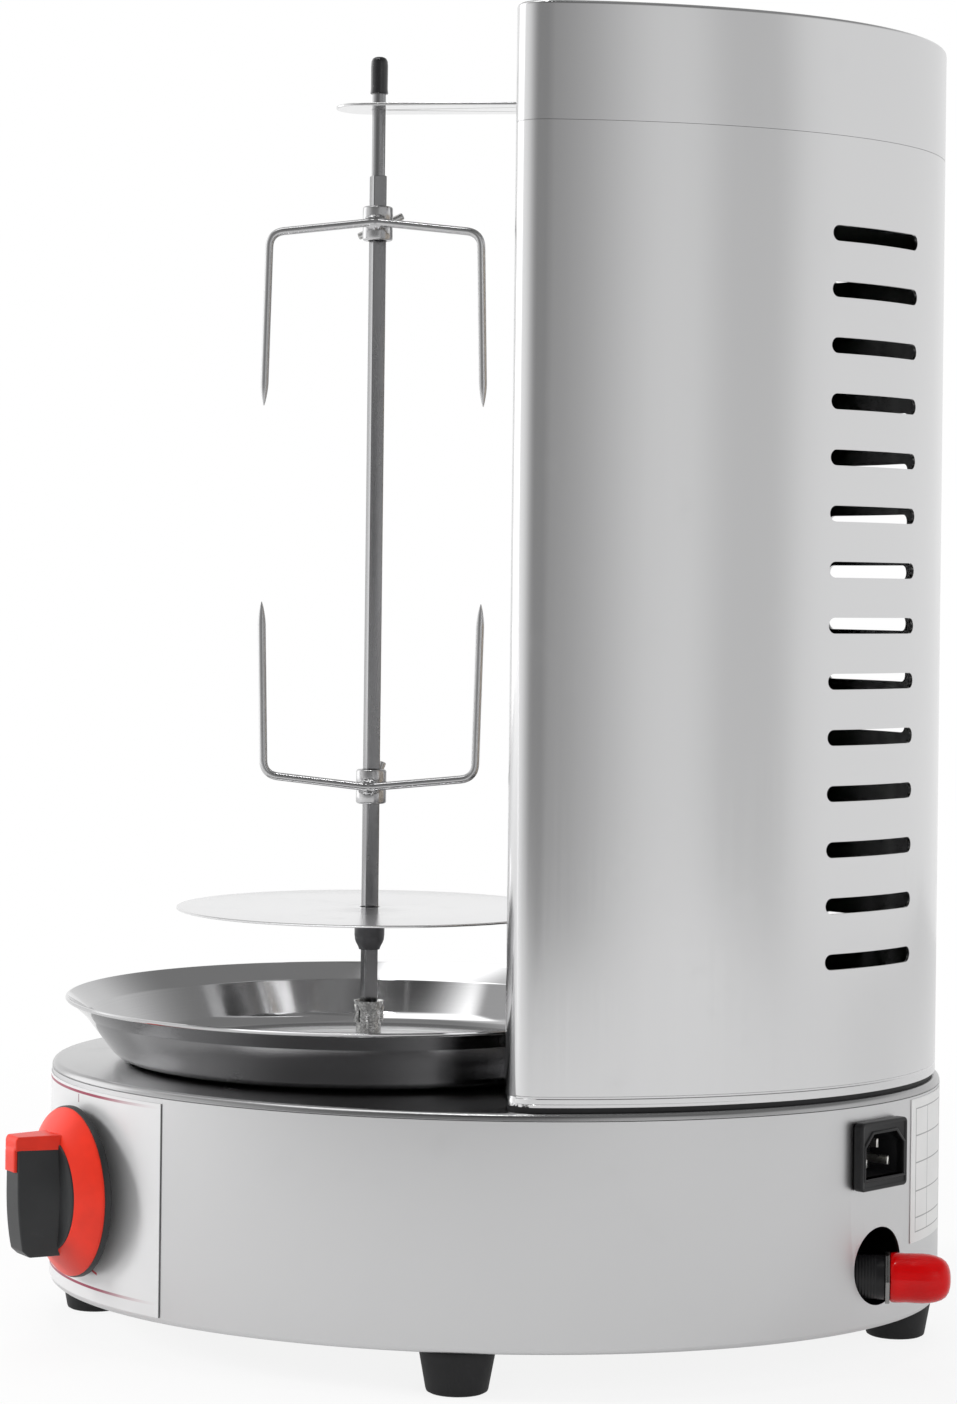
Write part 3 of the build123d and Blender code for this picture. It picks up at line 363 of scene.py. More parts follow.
def socket_finish(name, rgb):
    """Galvanised steel: crumpled spangle and scuffs."""
    f = Finish(name)
    spangle = f.cells(900.0)
    dents = f.noise(420.0)
    base = f.mix(spangle.step(0.1, 0.8), shade(rgb, 1.25), shade(rgb, 0.7))
    f.bump(dents + spangle * 0.3, 0.00035)
    return f.finish(base, 0.26 + (dents - 0.5) * 0.2, Metallic=1.0)


def ceramic_finish(name, rgb):
    """Fired ceramic: sandy grain, faint scorch in patches."""
    f = Finish(name)
    grain = f.noise(1600.0)
    scorch = f.noise(24.0, 4.0, roughness=0.6).step(0.5, 0.8)
    base = f.mix(grain, shade(rgb, 0.88), shade(rgb, 1.1))
    base = f.mix(scorch * 0.45, base, (0.28, 0.19, 0.13))
    f.bump(grain, 0.00008)
    return f.finish(base, 0.82 + (grain - 0.5) * 0.1)


# Each finish's maker, its colour or the user's colour, how much brighter it is, its roughness and the rest
LOOKS = {
    "tower_steel": (steel, "steel", 1, 0.16, {"stretch": (1, 1, 0.02), "contrast": 0.03, "depth": 0.000002}),
    "base_steel": (steel, "steel", 0.93, 0.34, {"stretch": (1, 1, 20), "contrast": 0.025, "depth": 0.0000012}),
    # painted shade: the deck is a darker copy of the steel, standing for the shade and dark reflections round the tray
    "deck_steel": (steel, "steel", 0.60, 0.22, {"streak": 5200.0, "ringed": True, "contrast": 0.09}),
    # painted light: the disc is a lighter copy of the steel, standing for the bright reflection on its top
    "disc_steel": (steel, "steel", 1.12, 0.22, {"streak": 3000.0, "ringed": True, "contrast": 0.03}),
    "drawn_steel": (steel, "dark_steel", 1, 0.27, {"stretch": (1, 1, 0.05), "contrast": 0.10}),
    "fork_steel": (steel, (0.52, 0.52, 0.525), 1, 0.24, {"stretch": (1, 1, 0.2), "contrast": 0.12}),
    "polished_steel": (steel, (0.60, 0.60, 0.605), 1, 0.16,
                       {"stretch": (1, 1, 8), "contrast": 0.04, "depth": 0.000002}),
    "cast_steel": (steel, (0.13, 0.13, 0.135), 1, 0.40, {"contrast": 0.2, "depth": 0.00002}),
    "zinc_plate": (steel, (0.56, 0.56, 0.54), 1, 0.34, {"contrast": 0.12, "depth": 0.00001}),
    "bright_zinc": (steel, (0.62, 0.62, 0.61), 1, 0.28, {"contrast": 0.12}),
    "nut_zinc": (steel, (0.30, 0.30, 0.295), 1, 0.27, {"contrast": 0.12}),
    "pin_metal": (steel, (0.85, 0.84, 0.80), 1, 0.28, {}),
    "valve_brass": (steel, (0.62, 0.43, 0.17), 1, 0.32, {}),
    "bronze": (steel, (0.48, 0.32, 0.16), 1, 0.40, {}),
    "grip_plastic": (plastic, "grip", 1, 0.42, {"grain": 1500.0}),
    "trim_plastic": (plastic, "trim", 1, 0.36, {"grain": 1500.0, "worn": 0.02}),
    "inlet_plastic": (plastic, (0.012, 0.012, 0.013), 1, 0.36, {"grain": 1400.0}),
    "fitting_black": (plastic, (0.010, 0.010, 0.011), 1, 0.40, {}),
    "nylon": (plastic, (0.70, 0.70, 0.66), 1, 0.42, {}),
    "black_rubber": (plastic, (0.014, 0.014, 0.015), 1, 0.58, {"grain": 900.0, "depth": 0.00003}),
    "black_vinyl": (plastic, (0.012, 0.012, 0.013), 1, 0.24, {"grain": 600.0, "depth": 0.00001, "coat": 0.5}),
    "red_vinyl": (plastic, "cap", 1, 0.22,
                  {"grain": 420.0, "depth": 0.00004, "worn": 0.0, "coat": 0.3, "gloss": 0.12}),
    "panel_film": (film_finish, "film", 1, None, {}),
    "plate_film": (plate_finish, (0.90, 0.90, 0.895), 1, None, {}),
    "tray_steel": (tray_finish, (0.52, 0.52, 0.525), 1, None, {}),
    "socket_steel": (socket_finish, (0.58, 0.58, 0.57), 1, None, {}),
    "ceramic": (ceramic_finish, (0.72, 0.62, 0.50), 1, None, {}),
}


MADE = {}


def look(name):
    """The finish of that name, made at its first use; the frame has materials of its own with some of the names."""
    if name not in MADE:
        maker, rgb, factor, roughness, settings = LOOKS[name]
        if isinstance(rgb, str):
            rgb = colour_of(rgb)
        if roughness is not None:
            settings = {"roughness": roughness, **settings}
        MADE[name] = maker(name, shade(rgb, factor), **settings)
    return MADE[name]


# Mesh building

def leave_edit():
    bpy.ops.object.mode_set(mode="OBJECT")


def select_none():
    if bpy.context.mode != "OBJECT":
        leave_edit()
    bpy.ops.object.select_all(action="DESELECT")


def use(piece):
    select_none()
    bpy.context.view_layer.objects.active = piece
    piece.select_set(True)


def pick_all():
    bpy.ops.mesh.select_all(action="SELECT")


def edit(piece, kind="VERT"):
    use(piece)
    bpy.ops.object.mode_set(mode="EDIT")
    bpy.ops.mesh.select_mode(type=kind)
    pick_all()


def choose(kind, test):
    """Selects the vertices, edges or faces whose middle (in mm) and normal pass the test."""
    bpy.ops.mesh.select_mode(type=kind)
    bpy.ops.mesh.select_all(action="DESELECT")
    mesh = bpy.context.active_object.data
    work = bmesh.from_edit_mesh(mesh)
    for part in {"VERT": work.verts, "EDGE": work.edges, "FACE": work.faces}[kind]:
        if kind == "VERT":
            middle, normal = part.co, part.normal
        elif kind == "EDGE":
            # an edge has its direction in place of a normal
            here, there = (v.co for v in part.verts)
            middle, normal = (here + there) / 2, (here - there).normalized()
        else:
            middle, normal = part.calc_center_median(), part.normal
        if test(middle / MM, normal):
            part.select_set(True)
    work.select_flush_mode()
    bmesh.update_edit_mesh(mesh)


def shape_points(change):
    """Puts each vertex of the piece in edit mode where change(vertex) says, in metres."""
    mesh = bpy.context.active_object.data
    work = bmesh.from_edit_mesh(mesh)
    for v in work.verts:
        v.co = change(v)
    bmesh.update_edit_mesh(mesh)


def push(shift, edges=False):
    """Extrudes what is selected by a shift in metres."""
    extrude = bpy.ops.mesh.extrude_edges_move if edges else bpy.ops.mesh.extrude_region_move
    extrude(TRANSFORM_OT_translate={"value": shift})


def point_out():
    pick_all()
    bpy.ops.mesh.normals_make_consistent(inside=False)


def turn_outward(y=0.0):
    """Turns the faces of an open wall in edit mode away from the upright axis at y."""
    faces = bmesh.from_edit_mesh(bpy.context.active_object.data).faces
    if sum(f.normal.dot(f.calc_center_median() - Vector((0, y * MM, 0))) for f in faces) < 0:
        bpy.ops.mesh.flip_normals()


def tidy_mesh(merge=0.001):
    """Merges doubles closer than merge in mm, points the faces out and leaves edit mode."""
    pick_all()
    bpy.ops.mesh.remove_doubles(threshold=merge * MM)
    bpy.ops.mesh.normals_make_consistent(inside=False)
    leave_edit()


def primitive(kind, name, **settings):
    select_none()
    getattr(bpy.ops.mesh, f"primitive_{kind}_add")(**settings)
    piece = bpy.context.active_object
    piece.name = piece.data.name = name
    return piece


def chain(name, points, close=False):
    """Extrudes one vertex along points in mm, and leaves the piece in edit mode, selected."""
    piece = primitive("plane", name, size=0.001)
    edit(piece)
    bpy.ops.mesh.merge(type="CENTER")
    points = [Vector(p) * MM for p in points]
    bpy.ops.transform.translate(value=points[0])
    for here, there in zip(points, points[1:]):
        push(there - here)
    if close:
        ends = points[0] / MM, points[-1] / MM
        choose("VERT", lambda p, n: min((p - end).length for end in ends) < 0.001)
        bpy.ops.mesh.edge_face_add()
    pick_all()
    return piece


def turned(name, points, centre=(0, 0), steps=96):
    """Spins a profile of (radius, height) in mm about an upright axis."""
    piece = chain(name, [(r + centre[0], centre[1], z) for r, z in points])
    bpy.ops.mesh.spin(steps=steps, angle=TURN, center=(centre[0] * MM, centre[1] * MM, 0), axis=(0, 0, 1))
    tidy_mesh()
    return piece


def raised(points, z):
    return [(r, z + height) for r, height in points]


def move(piece, place):
    """Puts a piece made at the origin where the matrix (in mm) says, in its mesh."""
    shift = place.copy()
    shift.translation = place.translation * MM
    piece.data.transform(shift)
    return piece


def oval_turn(name, points, closed=False):
    """Extrudes the base's oval through (offset, height) points in mm; a closed one has a floor and a top."""
    first = points[0]
    piece = primitive("circle", name, vertices=192, radius=1.0, fill_type="NGON" if closed else "NOTHING")
    edit(piece)
    bpy.ops.transform.resize(value=((BASE_HALF_X + first[0]) * MM, (BASE_HALF_Y + first[0]) * MM, 1))
    bpy.ops.transform.translate(value=(0, 0, first[1] * MM))
    for (offset, low), (further, high) in zip(points, points[1:]):
        push((0, 0, (high - low) * MM), edges=not (closed and (offset, low) == first))
        grow = [(half + further) / (half + offset) for half in (BASE_HALF_X, BASE_HALF_Y)]
        bpy.ops.transform.resize(value=(*grow, 1), center_override=(0, 0, high * MM))
    if closed:
        bpy.ops.mesh.edge_face_add()
    tidy_mesh()
    return piece


def prism(name, outline, low, high, place=None, bevel=0.0, segments=2, edges=None):
    """Fills an outline of (x, y) in mm, extrudes it from low to high, rounds its edges and places it."""
    piece = chain(name, [(x, y, low) for x, y in outline], close=True)
    bpy.ops.mesh.edge_face_add()
    push((0, 0, (high - low) * MM))
    point_out()
    if bevel:
        choose("EDGE", edges or (lambda p, n: abs(n.z) < 0.5 and p.z > high - 0.01))
        bpy.ops.mesh.bevel(offset=bevel * MM, segments=segments, affect="EDGES")
    leave_edit()
    return move(piece, place) if place else piece


def level_edges(p, n):
    return abs(n.z) < 0.5


def rounded(half_w, half_h, radius, steps=6, x=0.0, y=0.0):
    points = []
    for corner, (sx, sy) in enumerate(((1, 1), (-1, 1), (-1, -1), (1, -1))):
        for k in range(steps + 1):
            a = math.pi / 2 * (corner + k / steps)
            points.append((x + sx * (half_w - radius) + radius * math.cos(a),
                           y + sy * (half_h - radius) + radius * math.sin(a)))
    return points


def circle(radius, steps=32, y=0.0):
    return [(radius * math.cos(TURN * k / steps), y + radius * math.sin(TURN * k / steps)) for k in range(steps)]


def modify(piece, kind, **settings):
    use(piece)
    modifier = piece.modifiers.new(kind.title(), kind)
    for key, value in settings.items():
        setattr(modifier, key, value)
    bpy.ops.object.modifier_apply(modifier=modifier.name)
    return piece


def cut(piece, *cutters):
    """Takes the cutters' space out of the piece and deletes them."""
    for cutter in cutters:
        modify(piece, "BOOLEAN", operation="DIFFERENCE", object=cutter, solver="EXACT")
        bpy.data.objects.remove(cutter)
    return piece


def join(name, pieces):
    use(pieces[0])
    for piece in pieces:
        piece.select_set(True)
    if len(pieces) > 1:
        bpy.ops.object.join()
    pieces[0].name = pieces[0].data.name = name
    return pieces[0]


def copies(piece, places):
    """Copies of a piece with their own meshes, moved by matrices in mm."""
    made = []
    for place in places:
        twin = piece.copy()
        twin.data = piece.data.copy()
        bpy.context.collection.objects.link(twin)
        made.append(move(twin, place))
    return made


def smooth(piece, angle=32.0):
    use(piece)
    bpy.ops.object.shade_smooth_by_angle(angle=math.radians(angle))
    return piece


def soften(piece, width=0.25, segments=2, angle=32.0):
    """Rounds the sharp edges a little, so that they catch light."""
    modify(piece, "BEVEL", width=width * MM, segments=segments, limit_method="ANGLE",
           angle_limit=math.radians(angle))
    return smooth(piece, angle)


def finished_copy(node, name, slot, look_name, width=0.0, segments=1):
    """A welded copy of a CAD node's mesh in the cabinet, with its edges rounded by width in mm."""
    piece = NODES[node].copy()
    piece.data = NODES[node].data.copy()
    piece.parent = None
    piece.matrix_world = Matrix.Identity(4)
    bpy.context.collection.objects.link(piece)
    piece.name = piece.data.name = name
    piece.data.materials.clear()
    edit(piece)
    bpy.ops.mesh.remove_doubles(threshold=0.0005 * MM)
    leave_edit()
    smooth(piece, 28.0)
    if width:
        soften(piece, width, segments)
    else:
        smooth(piece, 40)
    return done(piece, "cabinet", slot, look_name, node)


def wire(name, points, radius, tapers):
    """A round wire along points in mm; tapers gives the radius's share at some of the points."""
    curve = bpy.data.curves.new(name, "CURVE")
    curve.dimensions = "3D"
    curve.bevel_depth = radius * MM
    curve.bevel_resolution = 8
    curve.use_fill_caps = True
    spline = curve.splines.new("POLY")
    spline.points.add(len(points) - 1)
    for k, (point, p) in enumerate(zip(spline.points, points)):
        point.co = (*(Vector(p) * MM), 1)
        point.radius = tapers.get(k, 1.0)
    piece = bpy.data.objects.new(name, curve)
    bpy.context.collection.objects.link(piece)
    use(piece)
    bpy.ops.object.convert(target="MESH")
    piece = bpy.context.active_object
    piece.name = piece.data.name = name
    edit(piece)
    tidy_mesh(0.0005)
    return smooth(piece, 40.0)


def bent(points, radii, steps=8):
    """The points of a path with its inner corners rounded."""
    points = [Vector(p) for p in points]
    out = [points[0]]
    for before, corner, after, radius in zip(points, points[1:], points[2:], radii):
        back, forth = (before - corner).normalized(), (after - corner).normalized()
        half = back.angle(forth) / 2
        reach = min(radius / math.tan(half), (before - corner).length * 0.49, (after - corner).length * 0.49)
        start, end = corner + back * reach, corner + forth * reach
        for k in range(steps + 1):
            t = k / steps
            out.append(start * (1 - t) ** 2 + corner * 2 * t * (1 - t) + end * t ** 2)
    return out + [points[-1]]


def wall_place(heading, z, half_x=BASE_HALF_X, half_y=BASE_HALF_Y):
    """A matrix on an oval wall: third axis out of the wall, second axis up."""
    c, s = math.cos(math.radians(heading)), math.sin(math.radians(heading))
    reach = math.hypot(half_x * c, half_y * s)
    return Matrix(((-s, 0, c, half_x ** 2 * c / reach), (c, 0, s, half_y ** 2 * s / reach), (0, 1, 0, z),
                   (0, 0, 0, 1)))


def lying(direction, origin):
    """A matrix whose third axis points along a level direction."""
    z = Vector(direction).normalized()
    x = Vector((0, 0, 1)).cross(z)
    place = Matrix((x, z.cross(x), z)).transposed().to_4x4()
    place.translation = Vector(origin)
    return place


def spit_turned(shape=Matrix.Identity(4)):
    return Matrix.Translation((0, SPIT_Y, 0)) @ Matrix.Rotation(math.radians(SPIT_TWIST), 4, "Z") @ shape


def knob_place(side):
    return wall_place(-90 + side * KNOB_HEADING, node_middle("right_knob_grip").z)


def inlet_place():
    return wall_place(INLET_HEADING, node_middle("mains_inlet").z)


def gas_hole_place():
    middle = node_middle("gas_inlet_cap")
    x = middle.x - 0.8
    y = BASE_HALF_Y * math.sqrt(1 - (x / BASE_HALF_X) ** 2)
    return lying((x / BASE_HALF_X ** 2, y / BASE_HALF_Y ** 2, 0), (x, y, middle.z + 4.2))


def done(piece, body, slot, look_name, *nodes):
    """Gives a piece its material, body and the CAD nodes that it stands for; the slot argument is not used."""
    piece.data.materials.clear()
    piece.data.materials.append(look(look_name))
    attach(piece, body)
    if nodes:
        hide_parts(*nodes)
    return piece


def dress(look_name, *nodes):
    """Gives a finish to CAD nodes that show as they are."""
    for node in nodes:
        if not NODES[node].material_slots:
            NODES[node].data.materials.append(look(look_name))
        for slot in NODES[node].material_slots:
            slot.material = look(look_name)


# Base

class BROILER_OT_base(bpy.types.Operator):
    """Builds the oval drum, its rolled deck, its bottom plate and its feet"""
    bl_idname = "broiler.base"
    bl_label = "Base"

    def execute(self, context):
        low, join_z = DRUM_LOW.z, DRUM_HIGH.z
        t, roll = sizes().sheet, sizes().deck_roll
        drum = oval_turn("drum_wall", [
            (-34, low), (-2.6, low), (-1.2, low + 0.25), (-0.3, low + 1.1), (0, low + 2.4), (0, join_z),
            (-t, join_z), (-t, low + 2.6), (-1.9, low + 1.5), (-3, low + t), (-34, low + t), (-34, low)])
        cut(drum, prism("gas_hole", circle(15.3, 48), -8, 8, gas_hole_place()),
            prism("inlet_hole", rounded(14.2, 12.7, 1.0), -8, 8, inlet_place()),
            *[prism("valve_hole", circle(7.0), -8, 4, knob_place(side)) for side in (-1, 1)])
        soften(drum, 0.2, 1, 40)
        done(drum, "cabinet", "base_steel", "base_steel", "base_drum")

        edge = [(-roll + roll * math.sin(a), DECK_Z - roll + roll * math.cos(a))
                for a in (math.pi / 2 * (1 - k / 6) for k in range(7))]
        deck = oval_turn("deck", [(-roll - 0.4, DECK_Z - t), (-roll - 0.4, join_z + 0.02), (-0.35, join_z + 0.02),
                                  (0, join_z + 0.3)] + edge, closed=True)
        cut(deck, prism("shaft_hole", circle(6.75, 48, SPIT_Y), DECK_Z - 9, DECK_Z + 2))
        smooth(deck, 30)
        # the deck takes the darker copy of the steel, which is painted shade
        done(deck, "cabinet", "base_steel", "deck_steel", "base_top_plate")
        finished_copy("base_bottom_plate", "bottom_plate", "base_steel", "zinc_plate", 0.2)

        foot = turned("foot", [
            (5.6, 6), (5.6, 0.5), (6.2, 0), (10.9, 0), (11.8, 0.5), (12.1, 1.3), (14.55, 14.6), (14.75, 16.2),
            (14.4, 17.1), (13.6, 17.5), (2.7, 17.5), (2.7, 6), (5.6, 6)], steps=48)
        x, y = BASE_HALF_X - FOOT_INSET, BASE_HALF_Y - FOOT_INSET
        feet = copies(foot, [Matrix.Translation(place) for place in ((x, 0, 0), (-x, 0, 0), (0, y, 0), (0, -y, 0))])
        bpy.data.objects.remove(foot)
        done(smooth(join("feet", feet), 40), "cabinet", "black_rubber", "black_rubber", "rubber_feet")
        dress("zinc_plate", "foot_screws")
        return {"FINISHED"}


# Front overlay and rating plate

def oval_strip(name, heading_low, heading_high, node, thick, steps=90):
    """A thin sheet on the drum, as tall as a node, between two parameters of the oval in degrees."""
    low, high = node_mm(node)
    lift = 0.05
    angles = [math.radians(heading_low + (heading_high - heading_low) * k / steps) for k in range(steps + 1)]
    piece = chain(name, [((BASE_HALF_X + lift) * math.cos(a), (BASE_HALF_Y + lift) * math.sin(a), low.z)
                         for a in angles])
    push((0, 0, (high.z - low.z) * MM), edges=True)
    point_out()
    turn_outward()
    leave_edit()
    return modify(piece, "SOLIDIFY", thickness=thick * MM, offset=1.0)


class BROILER_OT_labels(bpy.types.Operator):
    """Builds the film overlay on the front and the blank rating plate at the back"""
    bl_idname = "broiler.labels"
    bl_label = "Overlay and plate"

    def execute(self, context):
        start = math.degrees(math.asin(node_mm("control_panel")[1].y / BASE_HALF_Y))
        film = oval_strip("front_film", start, -180 - start, "control_panel", 0.3)
        cut(film, *[prism("neck_hole", circle(6.9), -8, 4, knob_place(side)) for side in (-1, 1)])
        done(smooth(film, 30), "cabinet", "panel_film", "panel_film", "control_panel")
        low, high = node_mm("rating_plate")
        ends = [math.degrees(math.acos(x / BASE_HALF_X)) for x in (high.x, low.x)]
        plate = oval_strip("blank_plate", *ends, "rating_plate", 0.25, steps=24)
        done(smooth(plate, 30), "cabinet", "plate_film", "plate_film", "rating_plate")
        return {"FINISHED"}


# Knobs, made with their axis upright: face is the skirt's front, and reach the grip's, over the drum's wall

SKIRT_BACK, SKIRT_FACE, GRIP_REACH = 3.9, 6.8, 32.4
BOSS_RADIUS, BOSS_RISE = 22.45, 8.2


class BROILER_OT_knobs(bpy.types.Operator):
    """Builds the two gas knobs with their skirts, red rings, grips and folded pointers"""
    bl_idname = "broiler.knobs"
    bl_label = "Knobs"

    def execute(self, context):
        r, edge = sizes().knob_radius, sizes().knob_radius - 0.6
        gap, face, inner = SKIRT_BACK, SKIRT_FACE, BOSS_RADIUS
        rise = face + BOSS_RISE
        skirt = turned("skirt", [
            (24.6, 6.0), (27.0, 6.0), (27.0, gap + 0.3), (27.3, gap), (r - 0.6, gap), (r, gap + 0.5), (r, face - 0.7),
            (r - 0.3, face - 0.2), (r - 0.75, face), (edge, face), (edge, face - 0.1), (24.6, face - 0.1),
            (24.6, 6.0)])
        boss = turned("boss", [
            (0, 6.0), (24.5, 6.0), (inner, face), (inner, rise - 0.1), (inner - 0.25, rise + 0.35),
            (inner - 1.0, rise + 0.7), (19.5, rise + 1.1), (15.0, rise + 1.6), (0, rise + 1.8)])
        ring = turned("ring", [
            (inner + 0.03, face - 0.08), (edge, face - 0.08), (edge, face + 0.45), (edge - 0.25, face + 0.8),
            (edge - 0.7, face + 1.2), (inner + 0.6, rise - 0.25), (inner + 0.2, rise - 0.1),
            (inner + 0.03, rise - 0.35), (inner + 0.03, face - 0.08)])
        dark, red = [skirt, boss, knob_grip_body()], [ring, knob_pointer()]
        for side, name in ((1, "right"), (-1, "left")):
            for pieces, form, node, slot, look_name in (
                    (dark, "_knob_body", "_knob_grip", "black_plastic", "grip_plastic"),
                    (red, "_knob_pointer", "_knob_trim", "red_plastic", "trim_plastic")):
                placed = [copies(piece, [knob_place(side)])[0] for piece in pieces]
                done(smooth(join(name + form, placed), 34), name + "_knob", slot, look_name, name + node)
            dress("zinc_plate", name + "_valve_stem")
            dress("valve_brass", name + "_valve_plunger", name + "_gas_valve")
        for piece in dark + red:
            bpy.data.objects.remove(piece)
        dress("zinc_plate", "valve_nuts", "valve_springs")
        return {"FINISHED"}


def shaped_block(name, cuts, place):
    """A subdivided block whose points go where place(u, v, w), each from -1 to 1, says in mm."""
    piece = primitive("cube", name, size=2)
    edit(piece, "FACE")
    bpy.ops.mesh.subdivide(number_cuts=cuts)
    shape_points(lambda v: Vector(place(*v.co)) * MM)
    point_out()
    leave_edit()
    return piece


def grip_half(y, out):
    """Half the grip's width: a lens at its root, drawn in to a slim bar at its front."""
    root, tip = 14.2 * (1 - (y / 34) ** 2), 5.7 * (1 - 0.1 * (y / 24) ** 2)
    rise = SKIRT_FACE + BOSS_RISE
    return root + (tip - root) * (out - rise) / (GRIP_REACH - 1.3 - rise)


def grip_slice(name, low, high, back, front, grow=0.0, width=99.0, cuts=10):
    """A slice of the grip between two heights, with its front at front(y)."""
    def place(u, v, w):
        y = low + (high - low) * (v + 1) / 2
        out = back + (front(y) - back) * (w + 1) / 2
        return u * (min(width, grip_half(y, out)) + grow), y, out
    return shaped_block(name, cuts, place)


def knob_grip_body():
    """The grip: a tapering bar with an arched front that recedes at its foot."""
    def front(y):
        arch, foot = max(0.0, 3.0 - y) / 24, max(0.0, -21.0 - y)
        return GRIP_REACH - 1.3 - 2.2 * arch ** 2 - 0.28 * foot ** 2
    return soften(grip_slice("grip", -24.0, 20.0, SKIRT_FACE + 0.2, front, cuts=15), 0.9, 3, 34)


def knob_pointer():
    """The pointer: a strip along the top of the grip, and a narrower tab that it folds down over the front."""
    strip = grip_slice("pointer", 18.5, 24.05, SKIRT_FACE + 0.3,
                       lambda y: GRIP_REACH - 0.5 - 0.25 * max(0.0, y - 22.0) ** 2, grow=0.06)
    tab = grip_slice("tab", 10.0, 20.0, GRIP_REACH - 3.5, lambda y: GRIP_REACH - 0.1 - 0.4 * max(0.0, y - 19.0),
                     width=4.4, cuts=4)
    return join("pointer", [soften(strip, 0.5, 3, 34), soften(tab, 0.35, 2, 34)])


# Drip tray

class BROILER_OT_tray(bpy.types.Operator):
    """Builds the drip tray: a pressed floor with rings, a flared wall and a rolled rim"""
    bl_idname = "broiler.tray"
    bl_label = "Drip tray"

    def execute(self, context):
        r, t = sizes().tray_radius, 0.9
        wall_r, floor_r = r - 8.3, r - 22.5
        # the profile runs up the middle hole, out over the floor and the rim, and back underneath
        inside = bent([(9.9, 0, t), (floor_r - 0.6, 0, t), (wall_r - 1.0, 0, 19.4), (r - 1.6, 0, 25.9)], (13.0, 4.0))
        outside = bent([(9.0, 0, 0.02), (floor_r, 0, 0.02), (wall_r, 0, 18.9), (r - 1.3, 0, 25.2)], (14.0, 4.0))
        rings = [(ring_r + side, t + 0.5 * share) for ring_r in (58, 82)
                 for side, share in ((-2.5, 0), (-1.6, 0.8), (-0.6, 1), (0.6, 1), (1.6, 0.8), (2.5, 0))]
        rim = [(r - 1.0, 26.5), (r - 0.35, 26.4), (r, 26.0), (r - 0.05, 25.5), (r - 0.5, 25.0)]
        hole = [(9.0, 0.02), (9.0, 8.4), (9.15, 8.85), (9.45, 9.0), (9.75, 8.85), (9.9, 8.4)]
        profile = (hole[-1:] + [(9.9, 1.9), (10.6, t + 0.1)] + rings + [(p.x, p.z) for p in inside[1:]] + rim
                   + [(p.x, p.z) for p in reversed(outside)] + hole)
        tray = turned("tray", raised(profile, DECK_Z), (0, SPIT_Y), 160)
        done(smooth(tray, 40), "tray", "polished_steel", "tray_steel", "drip_tray")
        return {"FINISHED"}


# Spit

class BROILER_OT_spit(bpy.types.Operator):
    """Builds the square spit with its rod and cap, the meat disc, its hub and the drive socket"""
    bl_idname = "broiler.spit"
    bl_label = "Spit"

    def execute(self, context):
        low, high = (v.z for v in node_mm("spit_bar"))
        shoulder = DECK_Z + SHOULDER_RISE
        bar = prism("bar", rounded(2.9, 2.9, 0.45, 3), low, shoulder, bevel=0.5, edges=level_edges)
        rod = turned("rod", [(0, shoulder - 0.5), (2.8, shoulder - 0.5), (2.8, high - 0.6), (2.2, high), (0, high)],
                     steps=32)
        bar = smooth(move(join("spit", [bar, rod]), spit_turned()), 30)
        done(bar, "spit", "spit_steel", "drawn_steel", "spit_bar")

        low, high = (v.z for v in node_mm("spit_end_cap"))
        cap = turned("cap", [(2.82, low), (3.5, low), (3.75, low + 0.25), (3.7, low + 0.9), (3.55, low + 2.2),
                             (3.6, high - 4.0), (3.45, high - 2.0), (2.9, high - 0.8), (1.9, high - 0.2), (0, high)],
                     (0, SPIT_Y), 40)
        done(smooth(cap, 40), "spit", "black_vinyl", "black_vinyl", "spit_end_cap")

        low, high = (v.z for v in node_mm("meat_disc"))
        r = node_mm("meat_disc")[1].x
        disc = turned("disc", [
            (4.2, high), (9.0, high), (10.0, high - 0.12), (11.0, high), (r - 1.2, high), (r - 0.35, high - 0.1),
            (r, high - 0.45), (r - 0.1, low + 0.15), (r - 0.5, low), (4.2, low), (4.2, high)], (0, SPIT_Y), 160)
        # the disc takes the lighter copy of the steel, which is painted light
        done(smooth(disc, 40), "spit", "brushed_steel", "disc_steel", "meat_disc")

        low, high = (v.z for v in node_mm("disc_hub"))
        hub = turned("hub", [
            (4.15, low), (4.3, low), (4.45, low + 0.3), (4.6, low + 0.9), (5.1, low + 1.9), (5.7, low + 3.0),
            (6.1, low + 4.2), (6.2, low + 5.2), (6.2, low + 5.6), (6.3, low + 5.8), (6.3, high - 0.5),
            (6.15, high - 0.2), (5.9, high), (4.15, high), (4.15, low)], (0, SPIT_Y), 48)
        done(smooth(hub, 40), "spit", "cast_steel", "cast_steel", "disc_hub")
        done(drive_socket(), "spit_drive", "polished_steel", "socket_steel", "drive_socket")
        return {"FINISHED"}


